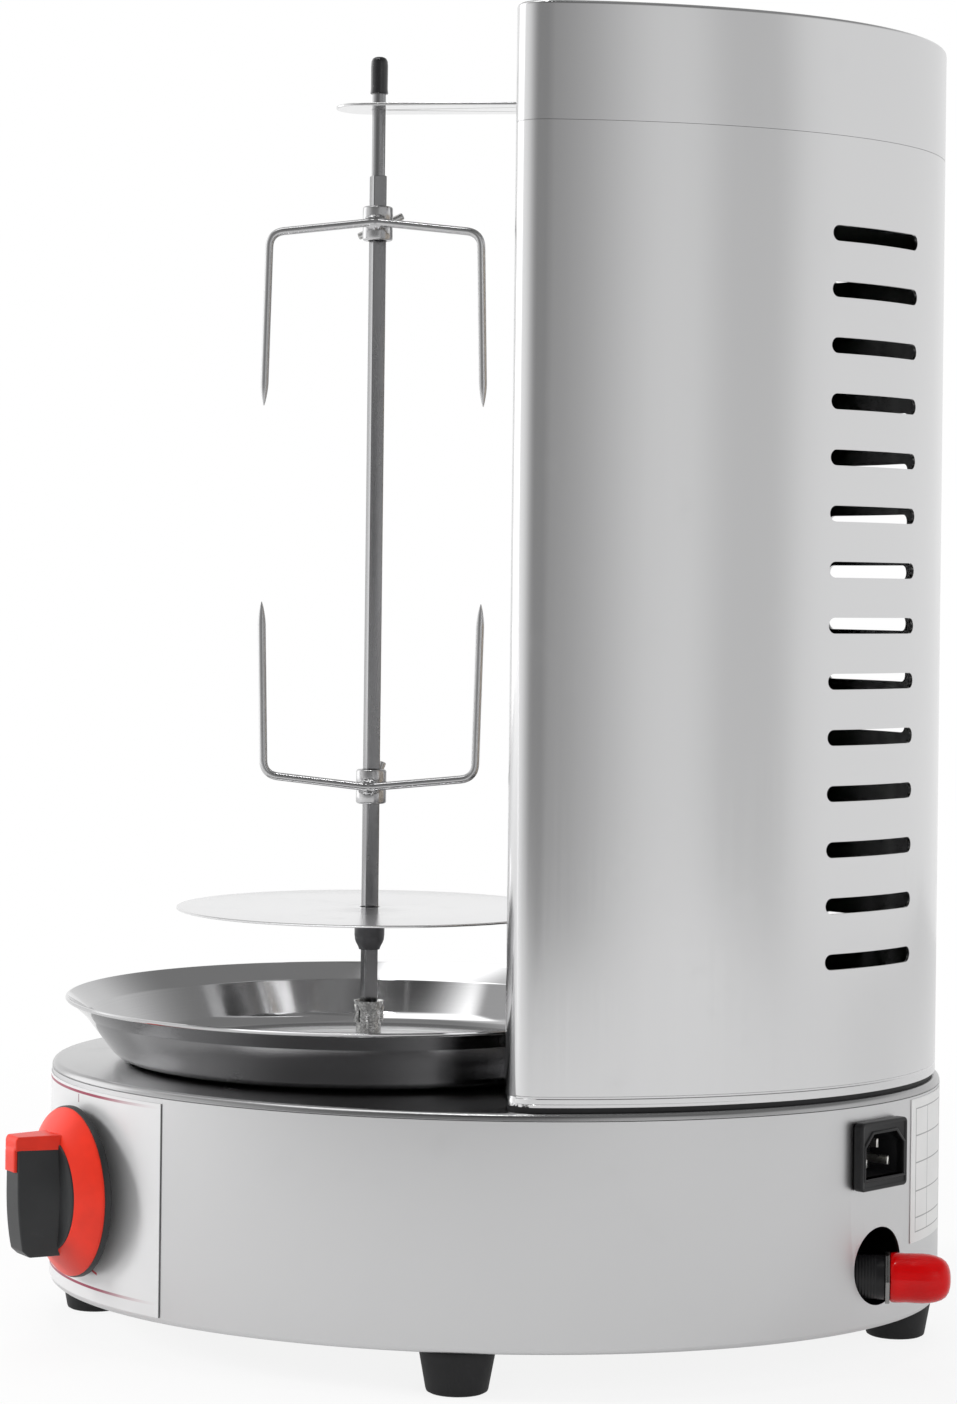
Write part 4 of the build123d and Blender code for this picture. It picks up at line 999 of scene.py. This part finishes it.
def drive_socket():
    """The cup that the spit stands in: a squeezed tube with a flared mouth and two folded ears."""
    low, top = (v.z for v in node_mm("drive_socket"))
    shaft = turned("shaft", [(0, low), (4.0, low), (4.0, DECK_Z + 1.2), (0, DECK_Z + 1.2)], steps=40)
    cup = turned("cup", [
        (0, DECK_Z + 1), (5.0, DECK_Z + 1), (5.3, DECK_Z + 1.4), (5.3, top - 4.2), (5.45, top - 3.0),
        (5.95, top - 1.2), (6.3, top - 0.15), (6.2, top), (5.85, top - 0.1), (5.3, top - 1.7), (4.75, top - 3.2),
        (4.55, top - 4.5), (4.55, DECK_Z + 10), (0, DECK_Z + 10)], steps=48)
    edit(cup)
    choose("VERT", lambda p, n: DECK_Z + 3 < p.z < top - 3.5 and abs(p.x) < 2.4)
    bpy.ops.transform.resize(value=(1, 0.93, 1), center_override=(0, 0, 0))
    leave_edit()
    pieces = [cup, shaft]
    for side in (-1, 1):
        ear = prism("ear", raised([(-1.9, -9.0), (1.9, -9.0), (1.9, -2.6), (1.2, -1.6), (-1.2, -1.6), (-1.9, -2.6)],
                                  top), 5.0, 6.1, bevel=0.3)
        ear.data.transform(Matrix(((1, 0, 0, 0), (0, 0, side, 0), (0, 1, 0, 0), (0, 0, 0, 1))))
        edit(ear)
        tidy_mesh()
        pieces.append(ear)
    return smooth(move(join("socket", pieces), spit_turned()), 35)


# Forks

class BROILER_OT_forks(bpy.types.Operator):
    """Builds the two meat forks, their collars and their clamp screws"""
    bl_idname = "broiler.forks"
    bl_label = "Forks"

    def execute(self, context):
        for level, way, bar_turn in (("upper", -1, 65), ("lower", 1, 20)):
            base_z = DECK_Z + FORK_RISE[level]
            done(meat_fork(way, base_z), level + "_fork", "spit_steel", "fork_steel", level + "_fork")
            done(clamp_screw(base_z + CLAMP_RISE, bar_turn), level + "_clamp", "zinc_steel", "bright_zinc",
                 level + "_clamp_screw")
        return {"FINISHED"}


def meat_fork(way, base_z):
    """A fork whose tines point up or down: one bent wire, welded to a collar."""
    r = sizes().fork_wire
    x, middle = 6.35 + r - 0.25, base_z + CLAMP_RISE
    span, spread, tine, point, rise = 44.5, 1.5, 68.0, 9.0, 4.5
    lean = Vector((0, spread, way * (tine - rise))).normalized()
    end = Vector((x, span + spread, way * tine)) + lean * point
    half = [Vector((x, 0, 0)), Vector((x, span, way * rise)), end]
    path = bent([Vector((p.x, -p.y, p.z)) for p in reversed(half[1:])] + half, (7.0, 28.0, 7.0), 10)
    path = [p + Vector((0, SPIT_Y, middle)) for p in path]
    # the tines are drawn down to points over their last few millimetres
    cone, shape = 9.5, (0.10, 0.42, 0.64, 0.81, 0.94, 1.0)
    ends = []
    for tip, inward in ((path[0], path[1]), (path[-1], path[-2])):
        ends.append([tip + (inward - tip).normalized() * cone * (k / (len(shape) - 1)) for k in range(len(shape))])
    path = ends[0] + path[1:-1] + ends[1][::-1]
    tapers = dict(enumerate(shape))
    tapers.update({len(path) - 1 - k: share for k, share in enumerate(shape)})
    rod = wire("fork_wire", path, r, tapers)
    collar = turned("collar", raised([
        (4.2, 0), (5.7, 0), (6.1, 0.25), (6.35, 0.8), (6.35, 5.2), (6.2, 5.6), (6.2, 8.7), (6.35, 9.1), (6.35, 13.5),
        (6.1, 14.05), (5.7, 14.3), (4.2, 14.3), (4.2, 0)], base_z), (0, SPIT_Y), 48)
    cut(collar, prism("screw_hole", circle(2.55, 24), 3, 9, lying((-1, 0, 0), (0, SPIT_Y, middle))))
    return join("meat_fork", [smooth(rod, 40), smooth(collar, 35), weld_bead(x, middle)])


def weld_bead(x, z):
    """A lumpy bead of weld over the wire where it meets the collar."""
    bead = primitive("uv_sphere", "bead", segments=28, ring_count=18, radius=MM)
    edit(bead)
    bpy.ops.transform.resize(value=(2.1, 5.2, 3.3))
    bpy.ops.transform.translate(value=((x - 0.5) * MM, SPIT_Y * MM, z * MM))

    def rippled(v):
        along, up = v.co.y / MM, v.co.z / MM
        ripple = 0.22 * math.sin(along * 3.4) + 0.16 * math.sin(up * 4.3 + along * 1.7)
        return v.co + v.normal * ripple * MM
    shape_points(rippled)
    leave_edit()
    return smooth(bead, 60)


def clamp_screw(z, bar_turn):
    """A clamp screw with a round head and a cross bar."""
    screw = turned("clamp", [(0, 4.2), (2.2, 4.2), (2.5, 4.5), (2.5, 7.35), (3.1, 7.35), (3.55, 7.7), (3.6, 8.15),
                             (3.6, 11.05), (3.4, 11.6), (2.9, 11.85), (0, 11.85)], steps=32)
    half = 10.5
    bar = turned("bar", [(0, -half), (1.0, -half), (1.4, -half + 0.25), (1.5, -half + 0.7), (1.5, half - 0.7),
                         (1.4, half - 0.25), (1.0, half), (0, half)], steps=20)
    side = Matrix.Rotation(math.radians(bar_turn), 4, "Z") @ Matrix.Rotation(math.pi / 2, 4, "Y")
    move(bar, Matrix.Translation((0, 0, 9.6)) @ side)
    place = Matrix.Translation((0, SPIT_Y, z)) @ Matrix.Rotation(-math.pi / 2, 4, "Y")
    return smooth(move(join("clamp_screw", [screw, bar]), place), 35)


# Tower

def tower_outline(steps=120):
    """The tower's plan from its right front edge round the back to its left one, as (x, y) in mm."""
    half_x, half_y, front, radius = SHELL_HIGH.x, SHELL_HIGH.y, SHELL_LOW.y, 12.0
    # the corner's circle touches the oval from inside, at the parameter t, and the front line
    low, high = 0.0, math.pi / 4
    for _ in range(50):
        t = (low + high) / 2
        normal = Vector((math.cos(t) / half_x, math.sin(t) / half_y)).normalized()
        centre = Vector((half_x * math.cos(t), half_y * math.sin(t))) - normal * radius
        if centre.y < front + radius:
            low = t
        else:
            high = t
    turn = math.atan2(normal.y, normal.x)
    corner = [centre + radius * Vector((math.cos(a), math.sin(a)))
              for a in (-math.pi / 2 + (turn + math.pi / 2) * k / 12 for k in range(13))]
    side = [Vector((half_x * math.cos(a), half_y * math.sin(a)))
            for a in (t + (math.pi / 2 - t) * k / steps for k in range(1, steps + 1))]
    right = corner + side
    return [tuple(p) for p in right] + [(-p.x, p.y) for p in reversed(right[:-1])]


class BROILER_OT_tower(bpy.types.Operator):
    """Builds the tower's slotted shell, its hood, its gasket and its floor"""
    bl_idname = "broiler.tower"
    bl_label = "Tower"

    def execute(self, context):
        sheet = {"thickness": sizes().sheet * MM, "offset": -1.0, "use_even_offset": True}
        self.shell(sheet)
        self.hood(sheet)
        finished_copy("tower_gasket", "tower_gasket_finished", "black_rubber", "black_rubber", 0.15)
        finished_copy("tower_floor", "tower_floor_finished", "brushed_steel", "tower_steel", 0.15)
        dress("zinc_plate", "tower_screws")
        return {"FINISHED"}

    def shell(self, sheet):
        low, seam = SHELL_LOW.z, SHELL_HIGH.z
        front = SHELL_LOW.y
        outline = [(TOWER_MOUTH, front)] + tower_outline() + [(-TOWER_MOUTH, front)]
        shell = chain("shell", [(x, y, low) for x, y in outline])
        for rise in (3.0, 0.35, 0.5, 0.35, seam - low - 4.2):
            push((0, 0, rise * MM), edges=True)
        tidy_mesh()
        edit(shell)
        turn_outward(90)
        # a shallow groove round the foot
        choose("VERT", lambda p, n: abs(p.z - low - 3.6) < 0.4 and abs(p.z - low - 3.0) > 0.1)
        groove = ((SHELL_HIGH.x - 0.3) / SHELL_HIGH.x, (SHELL_HIGH.y - 0.3) / SHELL_HIGH.y, 1)
        bpy.ops.transform.resize(value=groove, center_override=(0, 0, 0))
        leave_edit()
        modify(shell, "SOLIDIFY", **sheet)
        slot_shape = [(20.9 * sx + 3.1 * math.cos(a), 3.1 * math.sin(a)) for sx, a0 in ((1.14, -90), (-1.14, 90))
                      for a in (math.radians(a0 + 18 * k) for k in range(11))]
        slots = []
        for side in (-1, 1):
            for index in range(sizes().slot_count):
                z = DRUM_LOW.z + FIRST_SLOT_RISE + index * SLOTS_SPAN / (sizes().slot_count - 1)
                place = wall_place(90 - side * (90 - SLOT_HEADING), z, SHELL_HIGH.x, SHELL_HIGH.y)
                slots.append(prism("slot", slot_shape, -12, 12, place))
        cut(shell, join("slots", slots))
        done(smooth(shell, 30), "cabinet", "brushed_steel", "tower_steel", "tower_shell")

    def hood(self, sheet):
        foot, top, front = SHELL_HIGH.z + 0.14, node_mm("tower_cap")[1].z, SHELL_LOW.y
        recess = [(-TOWER_MOUTH, front), (-RECESS_HALF, RECESS_Y), (RECESS_HALF, RECESS_Y), (TOWER_MOUTH, front)]
        hood = chain("hood", [(x, y, foot) for x, y in tower_outline() + recess], close=True)
        push((0, 0, (top - foot) * MM))
        bpy.ops.mesh.edge_face_add()
        point_out()
        choose("EDGE", lambda p, n: abs(n.z) < 0.5 and p.z > top - 0.01)
        bpy.ops.mesh.bevel(offset=sizes().hood_edge * MM, segments=4, affect="EDGES")
        leave_edit()
        modify(hood, "SOLIDIFY", **sheet)
        cut(hood, *[prism("screw_hole", circle(2.1, 20), -9, 9,
                          lying((0, -1, 0), (side * BRACKET_SCREW_X, RECESS_Y, DECK_Z + BRACKET_SCREW_RISE)))
                    for side in (-1, 1)])
        done(smooth(hood, 30), "cabinet", "brushed_steel", "tower_steel", "tower_cap")


# Burners

class BROILER_OT_burners(bpy.types.Operator):
    """Builds the polished reflector, the burner housings, the pierced plaques, their guards and the top bracket"""
    bl_idname = "broiler.burners"
    bl_label = "Burners"

    def execute(self, context):
        finished_copy("reflector_panel", "reflector", "polished_steel", "polished_steel", 0.25)
        for level in ("lower", "upper"):
            node = level + "_burner_"
            done(pierced_plaque(node + "plaque"), "cabinet", "ceramic", "ceramic", node + "plaque")
            finished_copy(node + "mesh", level + "_guard", "polished_steel", "polished_steel")
            finished_copy(node + "housing", level + "_housing", "zinc_steel", "zinc_plate", 0.25)
        finished_copy("spit_bracket", "top_bracket", "brushed_steel", "tower_steel", 0.3, 2)
        dress("zinc_plate", "bracket_screws", "lower_burner_tube", "upper_burner_tube")
        return {"FINISHED"}


def pierced_plaque(node):
    """A ceramic plate whose face is pierced by rows of small holes, from one tile repeated."""
    low, high = node_mm(node)
    middle = node_middle(node)
    pitch, hole, deep, edge = 4.0, 1.25, 5.0, 0.6
    wide, tall = high.x - low.x, high.z - low.z
    columns, rows = int((wide - 4) // pitch), int((tall - 4) // pitch)
    holes_wide, holes_tall = columns * pitch, rows * pitch
    x0, z0 = middle.x - holes_wide / 2, middle.z - holes_tall / 2
    tile = primitive("plane", "tile", size=pitch * MM)
    edit(tile, "FACE")
    bpy.ops.mesh.subdivide(number_cuts=1)
    choose("VERT", lambda p, n: p.length < 0.1)
    bpy.ops.mesh.bevel(offset=hole * MM, segments=1, affect="VERTICES")
    choose("FACE", lambda p, n: p.length < 0.1)
    push((0, 0, -deep * MM))
    leave_edit()
    tile.data.transform(Matrix(((1, 0, 0, 0), (0, 0, -1, 0), (0, 1, 0, 0), (0, 0, 0, 1))))
    move(tile, Matrix.Translation((x0 + pitch / 2, low.y, z0 + pitch / 2)))
    for count, step in ((columns, (pitch * MM, 0, 0)), (rows, (0, 0, pitch * MM))):
        modify(tile, "ARRAY", count=count, use_relative_offset=False, use_constant_offset=True,
               constant_offset_displace=step, use_merge_vertices=True, merge_threshold=0.00001)
    # from the holes' edge outwards, over a small chamfer and round the back
    rim = chain("rim", [(x0, low.y, z0), (x0 + holes_wide, low.y, z0), (x0 + holes_wide, low.y, z0 + holes_tall),
                        (x0, low.y, z0 + holes_tall)], close=True)
    now = (holes_wide, holes_tall, low.y)
    for then in ((wide - 2 * edge, tall - 2 * edge, low.y), (wide, tall, low.y + edge), (wide, tall, high.y)):
        push((0, (then[2] - now[2]) * MM, 0), edges=True)
        bpy.ops.transform.resize(value=(then[0] / now[0], 1, then[1] / now[1]),
                                 center_override=(middle.x * MM, then[2] * MM, middle.z * MM))
        now = then
    bpy.ops.mesh.edge_face_add()
    leave_edit()
    plaque = join(node + "_pierced", [tile, rim])
    edit(plaque)
    tidy_mesh(0.005)
    return smooth(plaque, 30)


# Inlets at the back

class BROILER_OT_inlets(bpy.types.Operator):
    """Builds the mains inlet with its pins, and the gas inlet with its nut and red cap"""
    bl_idname = "broiler.inlets"
    bl_label = "Inlets"

    def execute(self, context):
        self.mains()
        self.gas()
        dress("zinc_plate", "gas_manifold")
        return {"FINISHED"}

    def mains(self):
        """Made lying on its back: the drum's wall at height 0, the mouth up."""
        out, deep, front, mouth_deep = 0.3, -24.0, 4.4, 17
        flange = prism("flange", rounded(14.6, 13.4, 2.0), out, front, bevel=0.8, segments=3)
        edit(flange)
        choose("FACE", lambda p, n: n.z > 0.95)
        bpy.ops.mesh.inset(thickness=1.3 * MM)
        bpy.ops.transform.translate(value=(0, 0, -0.5 * MM))
        leave_edit()
        body = prism("body", rounded(13.5, 12.0, 1.5), deep, out + 0.5)
        w, h, c = 12.2, 8.6, 5.0
        mouth = [(-w, -h), (w, -h), (w, h - c), (w - c, h), (c - w, h), (-w, h - c)]
        collar = prism("collar", [(x * 1.10, y * 1.14) for x, y in mouth], 1.0, front - 0.02, bevel=0.5)
        pieces = [cut(piece, prism("mouth", mouth, front - mouth_deep, front + 1)) for piece in (flange, body, collar)]
        inlet = move(soften(join("inlet_body", pieces), 0.2, 2, 35), inlet_place())
        done(inlet, "cabinet", "black_plastic", "inlet_plastic", "mains_inlet")
        back = front - mouth_deep
        pins = [prism("pin", rounded(0.8, 1.8, 0.3, 3, x, y), back - 0.5, back + 13.2, inlet_place(), bevel=0.6)
                for x, y in ((-7, -3.5), (7, -3.5), (0, 4.0))]
        done(smooth(join("inlet_pins", pins), 35), "cabinet", "pin_metal", "pin_metal", "mains_inlet_pins")

    def gas(self):
        """Each piece is made upright and then laid towards the back."""
        middle, cap_end = node_middle("gas_inlet_cap"), node_mm("gas_inlet_cap")[1].y
        nut_y = node_mm("gas_inlet_nut")[0].y
        fit_start, fit_end = (v.y for v in node_mm("gas_inlet_fitting"))
        nut_shown = 1.8

        def laid(piece, y, angle):
            return smooth(move(piece, lying((0, 1, 0), (middle.x, y, middle.z))), angle)

        long = cap_end - nut_y - nut_shown
        cap = turned("vinyl_cap", [
            (7.86, 0), (8.7, 0), (9.3, 0.3), (9.6, 1.0), (9.7, 2.2), (9.65, 4.0), (9.5, 6.0), (9.6, 9.0),
            (9.65, long - 11.0), (9.45, long - 8.2), (9.0, long - 5.8), (8.2, long - 3.6), (7.0, long - 1.9),
            (5.3, long - 0.8), (3.4, long - 0.2), (1.6, long), (0, long - 0.1)], steps=64)

        def dented(v):
            u, w, a = v.co / MM
            reach = math.hypot(u, w)
            if a <= long - 9 or reach <= 3:
                return v.co
            dent = 0.55 * math.exp(-((u - 5.5) ** 2 + (w - 6.0) ** 2) / 14) * min(1, (a - long + 9) / 5)
            return v.co - Vector((u, w, 0)) / reach * dent * MM
        edit(cap)
        shape_points(dented)
        leave_edit()
        done(laid(cap, nut_y + nut_shown, 40), "gas_cap", "red_vinyl", "red_vinyl", "gas_inlet_cap")

        nut = prism("nut", circle(18.6 / math.sqrt(3), 6), 0.0, nut_shown - 0.1, bevel=0.3, edges=level_edges)
        cut(nut, prism("bore", circle(7.85, 40), -2, 9))
        done(laid(nut, nut_y, 30), "cabinet", "zinc_steel", "nut_zinc", "gas_inlet_nut")

        sleeve, spigot, thread = nut_y - fit_start, fit_end - fit_start, 1.2
        threads = [(radius, z + thread * k) for k in range(int((sleeve - 4) / thread))
                   for radius, z in ((8.45, 2.2), (8.6, 2.8))]
        fitting = turned("fitting", [(3.6, 0), (7.9, 0), (8.15, 0.5)] + threads + [
            (8.6, sleeve - 0.4), (8.2, sleeve), (7.8, sleeve), (7.8, spigot - 0.6), (7.2, spigot), (3.6, spigot),
            (3.6, 0)], steps=48)
        done(laid(fitting, fit_start, 25), "cabinet", "fitting_black", "fitting_black", "gas_inlet_fitting")


# Drive, inside the base

class BROILER_OT_drive(bpy.types.Operator):
    """Dresses the gearbox, the motor and the gears under the deck"""
    bl_idname = "broiler.drive"
    bl_label = "Drive"

    def execute(self, context):
        dress("zinc_plate", "gearbox_case", "gearbox_lid", "gearbox_screws", "motor_can")
        dress("cast_steel", "motor_rotor", "motor_pinion")
        dress("bronze", "shaft_bush")
        dress("nylon", "output_gear")
        return {"FINISHED"}


# Stage

CAMERA_PLACE = (1.4143, 0.1400, 0.3053)
CAMERA_TURNS = ((96.0, "Z"), (90.0, "X"), (0.673, "Z"))  # the last is its roll
PHOTO_TALL, FOCAL_PIXELS, SHIFT_PIXELS = 1404, 3396.6, -112.0
SENSOR = 36.0

# name, place, aim, width and height, power
LAMPS = (("lamp_key", (0.25, -1.7, 0.75), (0, 0, 0.15), (0.32, 0.5), 22.0),
         ("lamp_fill", (1.6, 1.4, 1.1), (0, 0.05, 0.2), (0.8, 1.2), 11.0),
         ("lamp_top", (-0.4, 0.0, 2.0), (0, 0, 0.2), (1.4, 1.4), 13.0),
         ("lamp_glint", (0.45, -0.1, 1.9), (0, 0.05, 0.1), (0.22, 0.09), 1.2))


class BROILER_OT_stage(bpy.types.Operator):
    """Sets the camera, the pale floor, the soft lamps and the studio's background"""
    bl_idname = "broiler.stage"
    bl_label = "Stage"

    def execute(self, context):
        scene = context.scene
        camera = bpy.data.objects.new("camera", bpy.data.cameras.new("camera"))
        scene.collection.objects.link(camera)
        place = Matrix.Translation(CAMERA_PLACE)
        for degrees, axis in CAMERA_TURNS:
            place = place @ Matrix.Rotation(math.radians(degrees), 4, axis)
        camera.matrix_world = place
        lens = camera.data
        lens.sensor_fit, lens.sensor_height = "VERTICAL", SENSOR
        lens.lens = FOCAL_PIXELS * SENSOR / PHOTO_TALL
        lens.shift_y = SHIFT_PIXELS / PHOTO_TALL
        lens.clip_start = 0.05
        scene.camera = camera

        floor = primitive("plane", "floor", size=3.2)
        floor.data.materials.append(floor_finish(colour_of("floor")))
        for name, place, aim, (wide, tall), power in LAMPS:
            light = bpy.data.lights.new(name, "AREA")
            light.shape, light.size, light.size_y, light.energy = "RECTANGLE", wide, tall, power
            lamp = bpy.data.objects.new(name, light)
            scene.collection.objects.link(lamp)
            # metal shows the studio's room, and of the lamps only the small one
            lamp.visible_glossy = name == "lamp_glint"
            lamp.location = place
            lamp.rotation_euler = (Vector(aim) - Vector(place)).to_track_quat("-Z", "Y").to_euler()
        scene.world = studio()
        scene.view_settings.view_transform = "Standard"
        return {"FINISHED"}


def studio():
    """A pale studio: white where the camera sees it, and a soft grey room with darker parts for metal to show."""
    world = bpy.data.worlds.new("studio")
    world.use_nodes = True
    n = Nodes(world.node_tree)
    n.tree.nodes.clear()
    x, y, z = n.split(n.node("ShaderNodeTexCoord", {}, {}).outputs["Generated"])
    # heading of the direction, in degrees from +X towards +Y
    heading = y.apply("ARCTAN2", x) * (180 / math.pi)
    room = 0.32 + (1 - heading.step(-84.0, -26.0)) * 0.74 + heading.step(3.0, 34.0) * 0.42
    room = room + heading.step(18.0, 38.0) * 0.10 - heading.band(57.0, 5.0, 12.0) * 0.16
    room = room + heading.step(64.0, 84.0) * 0.10 + heading.band(-112.0, 14.0, 8.0)
    room = room * (1 - 0.05 * z.step(0.02, 0.16)) * (1 - 0.66 * z.step(0.36, 0.72))
    # a soft box overhead, a little in front of the broiler, and a paler patch before it
    above = z.top(0.05)
    across, along = x / above, y / above
    box = z.step(0.7, 0.75) * across.band(0.08, 0.12, 0.2) * along.band(-0.3, 0.22, 0.12)
    room = room + box * 2.0 + z.step(0.6, 0.7) * along.band(-0.8, 0.25, 0.3) * 0.25
    ray = n.rays()

    def background(strength):
        return n.node("ShaderNodeBackground", {}, {"Color": (1, 1, 1, 1), "Strength": strength}).outputs[0]

    lit = n.blend(ray("Glossy"), background(0.42), background(room))
    seen = n.blend(ray("Camera").top(ray("Transmission")), lit, background(1.0))
    n.node("ShaderNodeOutputWorld", {}, {"Surface": seen})
    return world


def floor_finish(rgb):
    """A pale floor that fades to white away from the object and keeps the object's shadow."""
    f = Finish("floor")
    f.finish(f.mix(f.noise(140.0), shade(rgb, 0.99), shade(rgb, 1.01)), 0.9)
    glow = f.node("ShaderNodeEmission", {}, {"Color": (1, 1, 1, 1), "Strength": 1.0}).outputs[0]
    ray = f.rays()
    see = ray("Camera").top(ray("Transmission")).top(ray("Glossy") * 0.5)
    white = 0.86 + 0.14 * f.radius(0, 0).step(0.25, 0.9)
    mixed = f.blend(see * white, f.shader.outputs[0], glow)
    f.fill(f.tree.nodes["Material Output"], {"Surface": mixed})
    return f.material


# Panel and registration

ORDER = ("stage", "base", "labels", "knobs", "tray", "spit", "forks", "tower", "burners", "inlets", "drive")


class BROILER_PT_panel(bpy.types.Panel):
    """Lists the broiler's sizes, colours and pieces"""
    bl_label = "Broiler"
    bl_idname = "BROILER_PT_panel"
    bl_space_type = "VIEW_3D"
    bl_region_type = "UI"
    bl_category = "Broiler"

    def draw(self, context):
        for group in (context.scene.broiler_sizes, context.scene.broiler_colours):
            box = self.layout.box()
            for key in group.bl_rna.properties.keys():
                if key not in ("rna_type", "name"):
                    box.prop(group, key)
        for name in ORDER:
            self.layout.operator("broiler." + name)


CLASSES = (BroilerSizes, BroilerColours, BROILER_OT_stage, BROILER_OT_base, BROILER_OT_labels, BROILER_OT_knobs,
           BROILER_OT_tray, BROILER_OT_spit, BROILER_OT_forks, BROILER_OT_tower, BROILER_OT_burners,
           BROILER_OT_inlets, BROILER_OT_drive, BROILER_PT_panel)


def register():
    for cls in CLASSES:
        bpy.utils.register_class(cls)
    bpy.types.Scene.broiler_sizes = bpy.props.PointerProperty(type=BroilerSizes)
    bpy.types.Scene.broiler_colours = bpy.props.PointerProperty(type=BroilerColours)


def unregister():
    del bpy.types.Scene.broiler_colours
    del bpy.types.Scene.broiler_sizes
    for cls in reversed(CLASSES):
        bpy.utils.unregister_class(cls)


def main():
    register()
    for name in ORDER:
        getattr(bpy.ops.broiler, name)()


if __name__ == "__main__":
    main()
